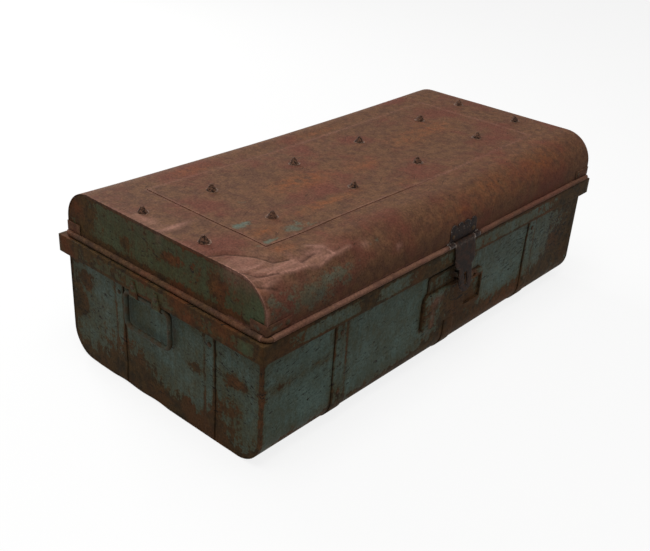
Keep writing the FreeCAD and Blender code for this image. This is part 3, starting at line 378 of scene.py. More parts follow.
# A seed for each use of the waves, how many waves are added up, and how their lengths spread
SEEDS = {"lid_sheet": 3, "lid_ends": 5, "lid_edge": 8, "base_walls": 11, "base_foot": 17, "crumple": 23}
WAVE_COUNT = 6
WAVE_SPREAD = (0.7, 1.6)


def bell(points, middle, reach):
    """1 at the middle, falling off smoothly over the reach. Both are in millimetres."""
    return np.exp(-(((points / MM - middle) / reach) ** 2).sum(axis=1))


def spread(points, patches):
    """Sum of the patches at each point. Far sides have the near ones' wear turned round, but not the top."""
    total = np.zeros(len(points))
    far_side = points[:, 2] < LID_FLAT - FAR_WEAR_END
    for middle, reach, strength in patches:
        for turn, share in ((1.0, 1.0), (-1.0, FAR_SHARE * far_side)):
            total += strength * share * bell(points * (turn, turn, 1.0), middle, reach)
    return total


def smooth(steps):
    """Steps eased at both ends: 0 up to 0, and 1 from 1 on."""
    steps = np.clip(steps, 0.0, 1.0)
    return steps * steps * (3 - 2 * steps)


def waves(points, length, seed):
    """Gentle uneven waves about length long, from minus 1 to 1."""
    pick = np.random.default_rng(seed)
    total = np.zeros(len(points))
    for _ in range(WAVE_COUNT):
        way = pick.normal(size=3)
        way *= 2 * math.pi / (np.linalg.norm(way) * length * pick.uniform(*WAVE_SPREAD))
        total += np.sin(points @ way + pick.uniform(0, 2 * math.pi))
    return total / WAVE_COUNT


# Dents in the lid, in millimetres: middle, reach, depth
LID_DENTS = [
    ((-400, -185, 306), (55, 42, 40), 6.0), ((-300, -150, 313), (70, 45, 40), 3.5),
    ((-330, -212, 296), (50, 26, 24), 4.0), ((-215, -212, 298), (40, 24, 22), 2.0),
    ((60, -175, 313), (80, 40, 40), 2.0), ((-440, 30, 313), (30, 60, 40), 1.5),
    ((330, 60, 313), (70, 60, 40), 1.5), ((-60, 150, 313), (110, 40, 40), 2.0),
]
# Folds in the lid's front left corner, in millimetres: the line of each, its half width, and its depth or,
# below 0, its height
LID_FOLDS = [
    ([(-456, -112, 311), (-430, -120, 309), (-401, -148, 309), (-390, -174, 309), (-367, -183, 308)], 9, 2.6),
    ([(-456, -176, 309), (-438, -190, 307), (-424, -197, 304), (-405, -200, 302)], 7, 2.8),
    ([(-420, -196, 304), (-391, -203, 301), (-362, -206, 299), (-331, -212, 295), (-304, -207, 298),
      (-262, -206, 300)], 17, -4.8),
    ([(-352, -196, 304), (-322, -191, 306)], 12, 3.4),
    ([(-322, -176, 309), (-304, -190, 306), (-300, -206, 299)], 9, -2.4),
    ([(-452, -206, 299), (-422, -216, 291)], 8, 2.2),
]
# How fast a fold falls off from its line
FOLD_POWER = 1.2
# Where the sheet is crumpled into many small folds: middle and reach
CRUMPLED = [
    ((-395, -180, 309), (55, 30, 30)), ((-318, -206, 301), (52, 16, 16)), ((-432, -204, 303), (24, 20, 20)),
]
# The small folds: how long, how much of x counts, which draws them out, and how narrow their crests are
CRUMPLE_LENGTH = 32 * MM
CRUMPLE_SHARES = (0.42, 1, 1)
CREST_NARROWNESS = 2.4
# How far under the lid's face still counts as on it, in millimetres
FACE_DEPTH = 2


def bend_middles(points):
    """The nearest point of the flat core that the lid's top and bends lie round."""
    flat = LID_WALL - LID_BEND
    core = points.copy()
    core[:, 1] = LID_Y + np.clip(points[:, 1] - LID_Y, -flat, flat)
    core[:, 2] = LID_FLAT - LID_BEND
    return core


def lid_outward(points):
    """The way that the lid's sheet faces at each point: up on top, level on walls, turning in the bends."""
    way = points - bend_middles(points)
    way[:, 2] = np.maximum(way[:, 2], 1e-9)
    return way / np.linalg.norm(way, axis=1, keepdims=True)


def on_lid(points):
    """Points of the lid's top and bends, brought to its outer face."""
    return bend_middles(points) + LID_BEND * lid_outward(points)


def to_line(points, line):
    """Distance in millimetres from each point to the nearest stretch of a line on the lid's face.

    It is measured along the face, and grows under it, so that a fold stays in the sheet."""
    nearest = np.full(len(points), np.inf)
    face = on_lid(points)
    under = np.linalg.norm(points - face, axis=1) / MM
    points = face / MM
    line = on_lid(np.array(line) * MM) / MM
    for start, end in zip(line, line[1:]):
        way = end - start
        share = np.clip((points - start) @ way / (way @ way), 0.0, 1.0)
        nearest = np.minimum(nearest, np.linalg.norm(points - start - share[:, None] * way, axis=1))
    return nearest + np.maximum(under - FACE_DEPTH, 0)


def folds(points):
    """For each fold, how much of it there is at each point, from 0 to 1, and its depth."""
    for line, width, depth in LID_FOLDS:
        yield np.clip(1 - to_line(points, line) / width, 0, 1) ** FOLD_POWER, depth


def crumple(points):
    """How crumpled the sheet is at each point, and where the crests of its small folds are, from 0 to 1."""
    amount = np.zeros(len(points))
    for middle, reach in CRUMPLED:
        amount += bell(points, middle, reach)
    off_crest = np.abs(waves(points * CRUMPLE_SHARES, CRUMPLE_LENGTH, SEEDS["crumple"]))
    return np.clip(amount, 0, 1), np.clip(1 - CREST_NARROWNESS * off_crest, 0, 1)


# Longest edges of the lid's triangles, in millimetres: in folds, elsewhere and on the rolled edge
FOLD_EDGE, LID_EDGE, BEAD_EDGE = 2.8, 11.0, 32
# They stay short this far beside a fold, then grow by this share of the distance
FOLD_MARGIN, EDGE_GROWTH = 4, 0.3
# They are short too where the sheet is more crumpled than this
LEAST_CRUMPLED = 0.2


def lid_limit(places):
    """Longest edge allowed in the lid's triangles: short where it is crumpled, long on the rolled edge."""
    nearest = np.full(len(places), np.inf)
    for line, width, _ in LID_FOLDS:
        nearest = np.minimum(nearest, to_line(places, line) - width - FOLD_MARGIN)
    longest = np.clip(FOLD_EDGE + EDGE_GROWTH * nearest, FOLD_EDGE, LID_EDGE)
    longest = np.where(crumple(places)[0] > LEAST_CRUMPLED, FOLD_EDGE, longest) * MM
    return np.where(places[:, 2] < BEAD_TOP, BEAD_EDGE * MM, longest)


# Sag of the lid: its middle, its reach and how fast it falls off along the lid
SAG_MIDDLE, SAG_REACH, SAG_POWER = -40 * MM, 480 * MM, 2.2
# How far above the rolled edge the lid starts to give, how deep it sags, and how much more along the crown
SAG_START = 2 * MM
SAG_DEPTH, CROWN_SAG, CROWN_HALF = 6 * MM, 4 * MM, 200 * MM
# Share of its height that the raised panel has lost at the left, and what is added from there to the right
PANEL_LOST, PANEL_LOST_MORE = 0.3, 0.58
PANEL_TURN, PANEL_STRETCH = -150 * MM, 260 * MM
# Waves of the sheet and crests of its small folds, in millimetres, and the share that stiff ends still take
SHEET_WAVE, SHEET_WAVE_LENGTH = 0.7, 170 * MM
CREST_HEIGHT = 1.4
STIFF_REACH, STIFF_SHARE = 18 * MM, 0.25
# Buckling of the flat ends: how far in, in millimetres, its waves, half its width, and where an end begins
BUCKLE, BUCKLE_WAVE, BUCKLE_LENGTH = 2.2, 1.2, 120 * MM
BUCKLE_HALF = 205 * MM
END_DEPTH, END_BLEND = 14 * MM, 6 * MM
# Waver of the rolled edge, how fast it ends above it, and the stretch beside the hasp that stays straight
WAVER, WAVER_LENGTH, WAVER_BLEND = 0.5 * MM, 210 * MM, 6 * MM
HASP_CLEAR = 60 * MM


def press_lid(points):
    """How use has pressed the lid: it sags along its middle, its raised panel is pressed down, and it has
    dents, creases, buckled ends and a wavy lower edge."""
    rise = smooth((points[:, 2] - BEAD_TOP - SAG_START) / (LID_FLAT - BEAD_TOP))
    along = np.clip(1 - (np.abs(points[:, 0] - SAG_MIDDLE) / SAG_REACH) ** SAG_POWER, 0.0, 1.0)
    crown = np.clip(1 - ((points[:, 1] - LID_Y) / CROWN_HALF) ** 2, 0.0, 1.0)
    moved = np.zeros_like(points)
    moved[:, 2] -= along * rise * (SAG_DEPTH + CROWN_SAG * crown)
    # The raised panel is pressed down, nearly flat towards the right
    raised = np.clip((points[:, 2] - LID_FLAT) / (PANEL_RAISE / 2), 0.0, 1.0)
    lost = PANEL_LOST + PANEL_LOST_MORE * smooth((points[:, 0] - PANEL_TURN) / PANEL_STRETCH)
    moved[:, 2] -= PANEL_RAISE * raised * lost
    inward = SHEET_WAVE * waves(points, SHEET_WAVE_LENGTH, SEEDS["lid_sheet"])
    for middle, reach, depth in LID_DENTS:
        inward += depth * bell(points, middle, reach)
    for fold, depth in folds(points):
        inward += depth * fold
    crumpled, crest = crumple(points)
    inward -= CREST_HEIGHT * crumpled * crest
    stiff_end = smooth((LID_HALF_LEN - np.abs(points[:, 0] - LID_X)) / STIFF_REACH)
    held = STIFF_SHARE + (1 - STIFF_SHARE) * stiff_end
    moved -= lid_outward(points) * (inward * MM * rise * held)[:, None]
    # Flat ends buckle inwards a little between their stiff edges
    at_end = smooth((np.abs(points[:, 0] - LID_X) - (LID_HALF_LEN - END_DEPTH)) / END_BLEND)
    bulge = smooth(1 - np.abs(points[:, 1] - LID_Y) / BUCKLE_HALF) * smooth(rise * (1 - rise) * 4)
    buckled = (BUCKLE + BUCKLE_WAVE * waves(points, BUCKLE_LENGTH, SEEDS["lid_ends"])) * MM
    moved[:, 0] -= np.sign(points[:, 0]) * at_end * bulge * buckled
    # The rolled edge wavers up, but not at the hasp or the corners
    low = 1 - smooth((points[:, 2] - BEAD_TOP) / WAVER_BLEND)
    free = smooth((np.abs(points[:, 0] - LOCK_X) - HASP_CLEAR) / HASP_CLEAR) * stiff_end
    moved[:, 2] += low * free * WAVER * (1 + waves(points * (1, 0, 0), WAVER_LENGTH, SEEDS["lid_edge"]))
    return moved


# Dents in the base, in millimetres: middle, reach, depth
BASE_DENTS = [
    ((-380, -226, 110), (60, 25, 45), 2.2), ((-170, -226, 90), (90, 25, 50), 2.4),
    ((190, -226, 110), (60, 25, 45), 2.4), ((390, -226, 90), (50, 25, 50), 2.6),
    ((-455, -165, 90), (25, 40, 50), 2.0), ((-455, -10, 70), (25, 55, 40), 2.6),
    ((-455, 165, 95), (25, 45, 55), 2.2), ((-455, 60, 30), (25, 50, 22), 2.0),
]

# Waves in the base's walls, in millimetres, and how dents fade: under the band, round the lock, at the foot
WALL_WAVE, WALL_WAVE_LENGTH = 0.5, 130 * MM
BAND_FADE = 30 * MM
LOCK_HALF, LOCK_POWER = 110 * MM, 4
FOOT_FROM, FOOT_FADE = 8 * MM, 45 * MM
# How far inside its outer face a wall begins, and over what it blends
WALL_DEPTH, WALL_BLEND = 25 * MM, 20 * MM
# Knocks in the ends' lower edges
KNOCK, KNOCK_LENGTH = 4 * MM, 90 * MM


def press_base(points):
    """How use has pressed the base: shallow dents in the walls, none at the band, and knocked lower edges."""
    inward = np.zeros(len(points))
    for middle, reach, depth in BASE_DENTS:
        for turn in (1.0, -1.0):
            inward += depth * bell(points * (turn, turn, 1.0), middle, reach)
    inward += WALL_WAVE * (1 + waves(points, WALL_WAVE_LENGTH, SEEDS["base_walls"]))
    below = smooth((band_low.z - points[:, 2]) / BAND_FADE)
    at_lock = np.exp(-(((points[:, 0] - LOCK_X) / LOCK_HALF) ** LOCK_POWER)) * (points[:, 1] < 0)
    inward *= MM * below
    moved = np.zeros_like(points)
    side = smooth((np.abs(points[:, 1]) - (wall_high.y - WALL_DEPTH)) / WALL_BLEND)
    end = smooth((np.abs(points[:, 0]) - (wall_high.x - WALL_DEPTH)) / WALL_BLEND)
    foot = smooth((points[:, 2] - FOOT_FROM) / FOOT_FADE)
    moved[:, 1] -= np.sign(points[:, 1]) * inward * side * (1 - end) * foot * (1 - at_lock)
    moved[:, 0] -= np.sign(points[:, 0]) * inward * end * (1 - side) * foot
    knocks = np.clip(waves(points * (0, 1, 0), KNOCK_LENGTH, SEEDS["base_foot"]), 0, 1)
    moved[:, 2] += end * (1 - side) * (1 - foot) * knocks * KNOCK
    return moved


# Angles past which an edge is worn as a sharp one, and past which sheets and heads are shaded with a corner
SHARP = math.radians(28)
SHEET_CORNER = math.radians(32)
HEAD_CORNER = math.radians(38)
# Points along an edge are about this far apart
EDGE_STEP = 1.5 * MM
# Whatever is farther than this from an edge or a seam is as good as far away
FAR = 50 * MM


def sharp(edge):
    """Whether two faces meet at an edge with a clear corner."""
    return len(edge.link_faces) == 2 and edge.calc_face_angle(0.0) > SHARP


def edge_points(mesh):
    """Points in even steps along the sharp edges of a mesh."""
    found = []
    for edge in mesh.edges:
        if sharp(edge):
            a, b = (vert.co for vert in edge.verts)
            steps = max(1, int(edge.calc_length() / EDGE_STEP))
            found += [a.lerp(b, i / steps) for i in range(steps + 1)]
    return found


def distances(marked, points):
    """How far each point is from the nearest marked one, at most FAR."""
    if not marked:
        return np.full(len(points), FAR)
    tree = KDTree(len(marked))
    for number, point in enumerate(marked):
        tree.insert(point, number)
    tree.balance()
    return np.array([min(tree.find(point)[2], FAR) for point in points])


# Points this close are one, and faces that turn by less than this angle are one flat face
MERGE = 0.01 * MM
FLAT_WITHIN = math.radians(0.5)


def solid_copy(node):
    """A node's mesh with its loose triangles joined and its flat faces whole."""
    work = bmesh.new()
    work.from_mesh(nodes[node].data)
    bmesh.ops.remove_doubles(work, verts=work.verts, dist=MERGE)
    bmesh.ops.dissolve_limit(work, angle_limit=FLAT_WITHIN, verts=work.verts, edges=work.edges)
    return work


# Side of a cell of the first grid, in longest edges: its diagonal, halved three times, is just within one
CELL = 5.6


def grid_lines(node, step):
    """Even cutting planes through a node, so that its triangles come out compact."""
    low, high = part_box(node)
    return [(axis, low[axis] + (high[axis] - low[axis]) * i / count)
            for axis in range(3)
            for count in [math.ceil((high[axis] - low[axis]) / step)]
            for i in range(1, count)]


def divide(points, faces, limit):
    """Splits the edges of triangles in half until each is within its limit, so that the sheet can bend."""
    while True:
        sides = np.sort(faces[:, [[0, 1], [1, 2], [2, 0]]].reshape(-1, 2), axis=1)
        edges, back = np.unique(sides, axis=0, return_inverse=True)
        starts, ends = points[edges[:, 0]], points[edges[:, 1]]
        split = np.linalg.norm(ends - starts, axis=1) > limit((starts + ends) / 2)
        if not split.any():
            return points, faces
        halfway = np.full(len(edges), -1)
        halfway[split] = len(points) + np.arange(split.sum())
        points = np.concatenate([points, ((starts + ends) / 2)[split]])
        mids = halfway[back].reshape(-1, 3)
        made = [faces[(mids < 0).all(axis=1)]]
        for turn in range(3):
            order = [turn, (turn + 1) % 3, (turn + 2) % 3]
            a, b, c = faces[:, order].T
            ab, bc, ca = mids[:, order].T
            one = (ab >= 0) & (bc < 0) & (ca < 0)
            made += [np.stack([a, ab, c], 1)[one], np.stack([ab, b, c], 1)[one]]
            two = (ab >= 0) & (bc >= 0) & (ca < 0)
            made += [np.stack(three, 1)[two] for three in ((ab, b, bc), (a, ab, bc), (a, bc, c))]
        every = (mids >= 0).all(axis=1)
        (a, b, c), (ab, bc, ca) = faces[every].T, mids[every].T
        made += [np.stack(three, 1) for three in ((a, ab, ca), (ab, b, bc), (ca, bc, c), (ab, bc, ca))]
        faces = np.concatenate(made)


def finish_piece(mesh, name, body, materials, stands_for):
    """Puts a mesh in the scene as a piece that rides on a body in place of CAD nodes."""
    piece = bpy.data.objects.new(name, mesh)
    bpy.context.scene.collection.objects.link(piece)
    mesh.materials.clear()
    for material in materials:
        mesh.materials.append(material)
    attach(piece, body)
    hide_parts(*stands_for)
    return piece


body_of = {node: body
           for body, members in frame["record"]["behaviour"]["bodies"].items()
           for node in members}
press = {"lid": press_lid, "base": press_base}


def put_layer(mesh, name, values):
    """Gives a mesh one number for each of its points, for its material to read."""
    layer = mesh.attributes.new(name, "FLOAT", "POINT")
    layer.data.foreach_set("value", np.asarray(values, np.float32))


def worn_piece(node, material, bare=0.0, longest=9 * MM, bevel=0.0, cuts=(), beside=(), inner=None,
               extra=None, limit=None):
    """A node's shape with softened edges, pressed and worn as use has left it, and given its painted
    highlights and shade.
    """
    work = solid_copy(node)
    if bevel:
        bmesh.ops.bevel(work, geom=[edge for edge in work.edges if sharp(edge)], offset=bevel, segments=2,
                        profile=0.5, affect="EDGES", clamp_overlap=True)
    own = edge_points(work)
    for axis, place in list(cuts) + grid_lines(node, CELL * longest):
        normal = [float(axis == i) for i in range(3)]
        geometry = work.verts[:] + work.edges[:] + work.faces[:]
        bmesh.ops.bisect_plane(work, geom=geometry, plane_co=[place * n for n in normal], plane_no=normal)
    bmesh.ops.triangulate(work, faces=work.faces)
    work.verts.index_update()
    points = np.array([vert.co for vert in work.verts])
    faces = np.array([[vert.index for vert in face.verts] for face in work.faces])
    work.free()
    points, faces = divide(points, faces, limit or (lambda places: longest))
    next_to = [point for other in beside for point in edge_points(solid_copy(other))]
    layers = {
        "bare": bare + spread(points, BARE) - spread(points, LEFT_PAINT),
        "orange": spread(points, FRESH),
        "rubbed": spread(points, RUBBED_AND_HIGHLIGHTS),
        "marks": spread(points, MARKS),
        "edge": distances(own, points),
        "seam": distances(next_to, points),
    }
    if extra is not None:
        extra(points, layers)
    body = body_of[node]
    if body in press:
        points = points + press[body](points)
    mesh = bpy.data.meshes.new(node + "_worn")
    mesh.from_pydata(points, [], faces)
    for name, values in layers.items():
        put_layer(mesh, name, values)
    mesh.shade_smooth()
    mesh.set_sharp_from_angle(angle=SHEET_CORNER)
    piece = finish_piece(mesh, node + "_worn", body, [material] + ([inner] if inner else []), [node])
    if inner:
        inside_faces(mesh)
    return piece


# Faces that look along the trunk are inside it only if they lie this far within its ends
OUTER_DEPTH = 1 * MM
LOOKS_ALONG = 0.5
# How far a face must turn to the inside's middle to be inside
LOOKS_IN = 0.3


def inside_faces(mesh):
    """Gives the faces that look into the trunk the second material."""
    count = len(mesh.polygons)
    middles, normals = np.zeros(count * 3, np.float32), np.zeros(count * 3, np.float32)
    mesh.polygons.foreach_get("center", middles)
    mesh.polygons.foreach_get("normal", normals)
    middles, normals = middles.reshape(-1, 3), normals.reshape(-1, 3)
    trunk_half = np.array([wall_high.x, wall_high.y, INSIDE_Z])
    inward = ((0, 0, INSIDE_Z) - middles) / trunk_half
    well_in = np.abs(middles[:, 0]) < wall_high.x - OUTER_DEPTH
    within = well_in | (np.abs(normals[:, 0]) < LOOKS_ALONG)
    looks_in = ((normals * inward).sum(axis=1) > LOOKS_IN) & within
    mesh.polygons.foreach_set("material_index", looks_in.astype(np.int32))


# Rust of the base: how much, and how far it reaches up from the bottom and down from the band
FOOT_RUST, FOOT_RUST_REACH = 0.40, 62 * MM
BAND_RUST, BAND_RUST_REACH = 0.18, 22 * MM


def lower_rust(points, layers):
    """Rust creeps up from the bottom of the base, and down from the band."""
    layers["bare"] += FOOT_RUST * smooth(1 - points[:, 2] / FOOT_RUST_REACH)
    layers["bare"] += BAND_RUST * smooth(1 - (band_low.z - points[:, 2]) / BAND_RUST_REACH)


# The rolled edge: how bare it is, how rubbed and lit by a painted highlight on the long sides and at the
# ends, and how that blends upwards
BEAD_BARE, BEAD_RUB_AND_HIGHLIGHT, END_BEAD_RUB_AND_HIGHLIGHT = 0.5, 0.42, 0.20
BEAD_BLEND = 3 * MM
# How much less rub and painted highlight it has at the right, from where and over what stretch
RIGHT_LESS, RIGHT_FROM, RIGHT_STRETCH = 0.55, -150 * MM, 400 * MM
# Creases get a dark line of painted shade as a seam gets dirt: how near a seam their line counts as, and how
# much farther their rim
CREASE_SHADE_LINE, CREASE_SHADE_WIDTH = 0.6 * MM, 4.5 * MM
# Painted highlights on ridges and on the crests of small folds: how strong, and from what share of their
# height
RIDGE_HIGHLIGHT, RIDGE_FROM = 0.6, 0.55
CREST_HIGHLIGHT, CREST_FROM, CREST_STRETCH = 0.22, 0.4, 0.5
# Ridge highlights show only this near the top
TOP_DEPTH, TOP_BLEND = 40 * MM, 20 * MM
# Front corner of the left end: how strong the painted highlight on its edges is, how far in from end and
# edge, and up to which y
CORNER_HIGHLIGHT, CORNER_DEPTH, CORNER_REACH = 0.8, 6 * MM, 3 * MM
CORNER_Y = -150 * MM
# Edges on the flat top and the panel: how strong their painted highlight is, from how far under the flat top,
# and how far from the edge
PANEL_HIGHLIGHT, PANEL_DEPTH, PANEL_REACH = 0.35, 3 * MM, 2.5 * MM


def lid_wear_and_painted_light(points, layers, rolled=BEAD_RUB_AND_HIGHLIGHT):
    """The rolled edge is worn by rubbing to a pinkish brown with a painted highlight, creases are darkened
    with painted shade, and ridges and edges get painted highlights.
    """
    low = 1 - smooth((points[:, 2] - BEAD_TOP) / BEAD_BLEND)
    layers["rubbed"] += rolled * low * (1 - RIGHT_LESS * smooth((points[:, 0] - RIGHT_FROM) / RIGHT_STRETCH))
    layers["bare"] += BEAD_BARE * low
    top = smooth((points[:, 2] - LID_FLAT + TOP_DEPTH) / TOP_BLEND)
    for fold, depth in folds(points):
        if depth > 0:
            # A crease gets a dark line of painted shade, as if it were a seam
            layers["seam"] = np.minimum(layers["seam"], CREASE_SHADE_LINE + CREASE_SHADE_WIDTH * (1 - fold))
        else:
            # A ridge gets a painted highlight
            layers["rubbed"] += RIDGE_HIGHLIGHT * top * smooth((fold - RIDGE_FROM) / (1 - RIDGE_FROM))
    # Painted highlights on the crests of the small folds
    crumpled, crest = crumple(points)
    layers["rubbed"] += CREST_HIGHLIGHT * crumpled * smooth((crest - CREST_FROM) / CREST_STRETCH)
    # Painted highlight along the edges of the left end's front corner
    end = smooth((LID_X - points[:, 0] - LID_HALF_LEN + CORNER_DEPTH) / CORNER_REACH)
    at_edge = smooth(1 - layers["edge"] / CORNER_REACH)
    layers["rubbed"] += CORNER_HIGHLIGHT * end * (points[:, 1] < CORNER_Y) * at_edge
    # Painted highlight along the panel's edges, lightening the step's shaded side
    on_panel = points[:, 2] > LID_FLAT - PANEL_DEPTH
    layers["rubbed"] += PANEL_HIGHLIGHT * on_panel * smooth(1 - layers["edge"] / PANEL_REACH)


# Rust on the lid's ends above the rolled edge
END_RUST, END_RUST_REACH = 0.35, 14 * MM


def lid_end_wear_and_painted_light(points, layers):
    """The lid's wear, with less rubbing and painted highlight at the rolled edge, and rusty above it."""
    lid_wear_and_painted_light(points, layers, END_BEAD_RUB_AND_HIGHLIGHT)
    layers["bare"] += END_RUST * smooth(1 - (points[:, 2] - BEAD_TOP) / END_RUST_REACH)


# The hasp's barrel: how rubbed and lit by a painted highlight, how far its middle is under the rolled edge's
# top, and how far that reaches
BARREL_RUB_AND_HIGHLIGHT, BARREL_DROP, BARREL_REACH = 0.40, 6 * MM, 11 * MM


def barrel_wear_and_highlight(points, layers):
    """The hasp's hinge is worn bright by rubbing where it turns, with a painted highlight along it."""
    layers["rubbed"] += BARREL_RUB_AND_HIGHLIGHT * smooth(1 - np.abs(points[:, 2] - BEAD_TOP + BARREL_DROP) / BARREL_REACH)


STRAPS = ["belly_strap_left", "belly_strap_middle", "belly_strap_right"]
END_STRAPS = {side: [f"{side}_end_strap_a", f"{side}_end_strap_b"] for side in ("left", "right")}
LOCK = ["lock_case", "lock_backing"]
# Cuts in the base's sheet along the straps and the lock, so that dirt can follow their edges
strap_lines = [(0, corner.x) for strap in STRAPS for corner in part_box(strap)]
lock_lines = [(axis, corner[axis]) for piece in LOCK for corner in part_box(piece) for axis in (0, 2)]

worn_piece("lid_top", lid_paint, bare=0.78, longest=LID_EDGE * MM, inner=tin_inside, extra=lid_wear_and_painted_light,
           limit=lid_limit, beside=["hasp_plate", "lid_front_left_corner", "lid_front_right_corner"])
for side in ("left", "right"):
    worn_piece(f"lid_{side}_end", end_paint, bare=0.26, longest=9 * MM, inner=tin_inside, extra=lid_end_wear_and_painted_light,
               beside=["lid_top"])
    lines = [(1, corner.y) for strap in END_STRAPS[side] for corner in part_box(strap)]
    worn_piece(f"base_{side}_end", base_paint, bare=0.24, longest=10 * MM, inner=tin_inside, extra=lower_rust,
               cuts=lines, beside=END_STRAPS[side] + [f"band_{side}"])
    for strap in END_STRAPS[side]:
        worn_piece(strap, base_paint, bare=0.20, longest=10 * MM, bevel=0.4 * MM, extra=lower_rust)
worn_piece("base_wrapper", base_paint, bare=0.16, longest=11 * MM, inner=tin_inside, extra=lower_rust,
           cuts=strap_lines + lock_lines, beside=STRAPS + LOCK + ["band_front", "band_back"])
for strap in STRAPS:
    worn_piece(strap, base_paint, bare=0.18, longest=10 * MM, bevel=0.4 * MM, extra=lower_rust)
for side, bare in (("front", 0.33), ("back", 0.35), ("left", 0.52), ("right", 0.45)):
    worn_piece(f"band_{side}", end_paint if side in ("left", "right") else base_paint, bare=bare,
               longest=11 * MM, bevel=0.6 * MM, inner=tin_inside)
worn_piece("lock_backing", base_paint, bare=0.45, longest=8 * MM, bevel=0.3 * MM)
worn_piece("lock_case", base_paint, bare=0.34, longest=6 * MM, bevel=0.4 * MM)
for corner in ("front_left", "front_right", "back_left", "back_right"):
    worn_piece(f"lid_{corner}_corner", lid_paint, bare=0.62, longest=9 * MM, bevel=0.25 * MM,
               inner=tin_inside)
worn_piece("hasp_plate", dark_iron, longest=8 * MM, bevel=0.35 * MM, extra=barrel_wear_and_highlight)
worn_piece("hasp_leaf", rusty_leaf_and_shade, longest=8 * MM, bevel=0.35 * MM, extra=barrel_wear_and_highlight)
worn_piece("staple", dark_iron, longest=8 * MM)
worn_piece("lid_rim_wire", lid_paint, bare=0.70, longest=40 * MM)
for side in ("left", "right"):
    worn_piece(f"{side}_handle_bail", wire_iron, longest=12 * MM)
    for letter in "ab":
        worn_piece(f"{side}_handle_clip_{letter}", end_paint, bare=0.25, longest=9 * MM, bevel=0.3 * MM)
    for leaf in ("base", "lid"):
        worn_piece(f"{side}_hinge_{leaf}_leaf", painted_iron, longest=9 * MM, bevel=0.3 * MM)
    worn_piece(f"{side}_hinge_pin", wire_iron, longest=12 * MM)

# Heads of the fasteners: sizes, how far they lean at most in radians, and how much their sizes vary
RIVET_RADIUS, RIVET_HEIGHT, RIVET_LEAN = 4.5 * MM, 1.8 * MM, 0.05
STUD_RADIUS, STUD_HEIGHT, STUD_LEAN = 8.2 * MM, 9.6 * MM, 0.06
STUD_TIP, TIP_FLATNESS = 2.9 * MM, 0.45
WASHER_RADIUS, WASHER_THICK = 11 * MM, 1.2 * MM
SIZE_SPREAD = 0.08
# How much painted glint a head has, and how much more painted highlight its washer's rim has from a distance
# past its radius, over a stretch, both in radii
HEAD_GLINT, WASHER_HIGHLIGHT = 0.18, 0.3
WASHER_FROM, WASHER_STRETCH = 1.1, 0.2


def seats(node):
    """Where each solid of a group sits: the middle of its foot, and the way that it faces."""
    work = solid_copy(node)
    left = set(work.verts)
    found = []
    while left:
        island, edge_of_search = set(), [left.pop()]
        while edge_of_search:
            vert = edge_of_search.pop()
            island.add(vert)
            for edge in vert.link_edges:
                other = edge.other_vert(vert)
                if other in left:
                    left.remove(other)
                    edge_of_search.append(other)
        corners = np.array([vert.co for vert in island])
        low, high = corners.min(axis=0), corners.max(axis=0)
        middle, size = (low + high) / 2, high - low
        axis = int(np.argmin(size))
        facing = np.zeros(3)
        facing[axis] = 1.0 if middle[axis] > 0 else -1.0
        foot = middle - facing * size[axis] / 2
        found.append((foot, facing))
    work.free()
    return found


def head_tree(name, material, build):
    """Geometry Nodes tree that sets a fastener on each point, turned to its facing and a little askew."""
    tree = bpy.data.node_groups.new(name, "GeometryNodeTree")
    for label, kind in (("Seats", "NodeSocketGeometry"), ("Radius", "NodeSocketFloat"),
                        ("Height", "NodeSocketFloat"), ("Askew", "NodeSocketFloat"),
                        ("Seed", "NodeSocketInt")):
        tree.interface.new_socket(label, in_out="INPUT", socket_type=kind)
    tree.interface.new_socket("Heads", in_out="OUTPUT", socket_type="NodeSocketGeometry")
    given = tree.nodes.new("NodeGroupInput")
    head = build(tree, given.outputs["Radius"], given.outputs["Height"])
    facing = add(tree, "GeometryNodeInputNamedAttribute", {"Name": "facing"}, data_type="FLOAT_VECTOR",
                 out="Attribute")
    turn = add(tree, "FunctionNodeAlignRotationToVector", {"Vector": facing}, axis="Z")
    more = given.outputs["Askew"]
    less = add(tree, "ShaderNodeMath", {0: more, 1: -1.0}, operation="MULTIPLY")
    low = add(tree, "ShaderNodeCombineXYZ", {0: less, 1: less, 2: -math.pi})
    high = add(tree, "ShaderNodeCombineXYZ", {0: more, 1: more, 2: math.pi})
    lean = add(tree, "FunctionNodeRandomValue", {0: low, 1: high, "Seed": given.outputs["Seed"]},
               data_type="FLOAT_VECTOR")
    lean = add(tree, "FunctionNodeEulerToRotation", {0: lean})
    turn = add(tree, "FunctionNodeRotateRotation", {0: turn, 1: lean}, rotation_space="LOCAL")
    size = add(tree, "FunctionNodeRandomValue",
               {2: 1 - SIZE_SPREAD, 3: 1 + SIZE_SPREAD, "Seed": given.outputs["Seed"]}, data_type="FLOAT")
    placed = add(tree, "GeometryNodeInstanceOnPoints",
                 {"Points": given.outputs["Seats"], "Instance": head, "Rotation": turn, "Scale": size})
    real = add(tree, "GeometryNodeRealizeInstances", {0: placed})
    dressed = add(tree, "GeometryNodeSetMaterial", {0: real, "Material": material})
    add(tree, "NodeGroupOutput", {0: dressed})
    return tree


def rivet_head(tree, radius, height):
    """Low dome, sunk by half into its sheet."""
    ball = add(tree, "GeometryNodeMeshUVSphere", {"Segments": 20, "Rings": 10, "Radius": 1.0}, out="Mesh")
    size = add(tree, "ShaderNodeCombineXYZ", {0: radius, 1: radius, 2: height})
    return add(tree, "GeometryNodeTransform", {"Geometry": ball, "Scale": size})


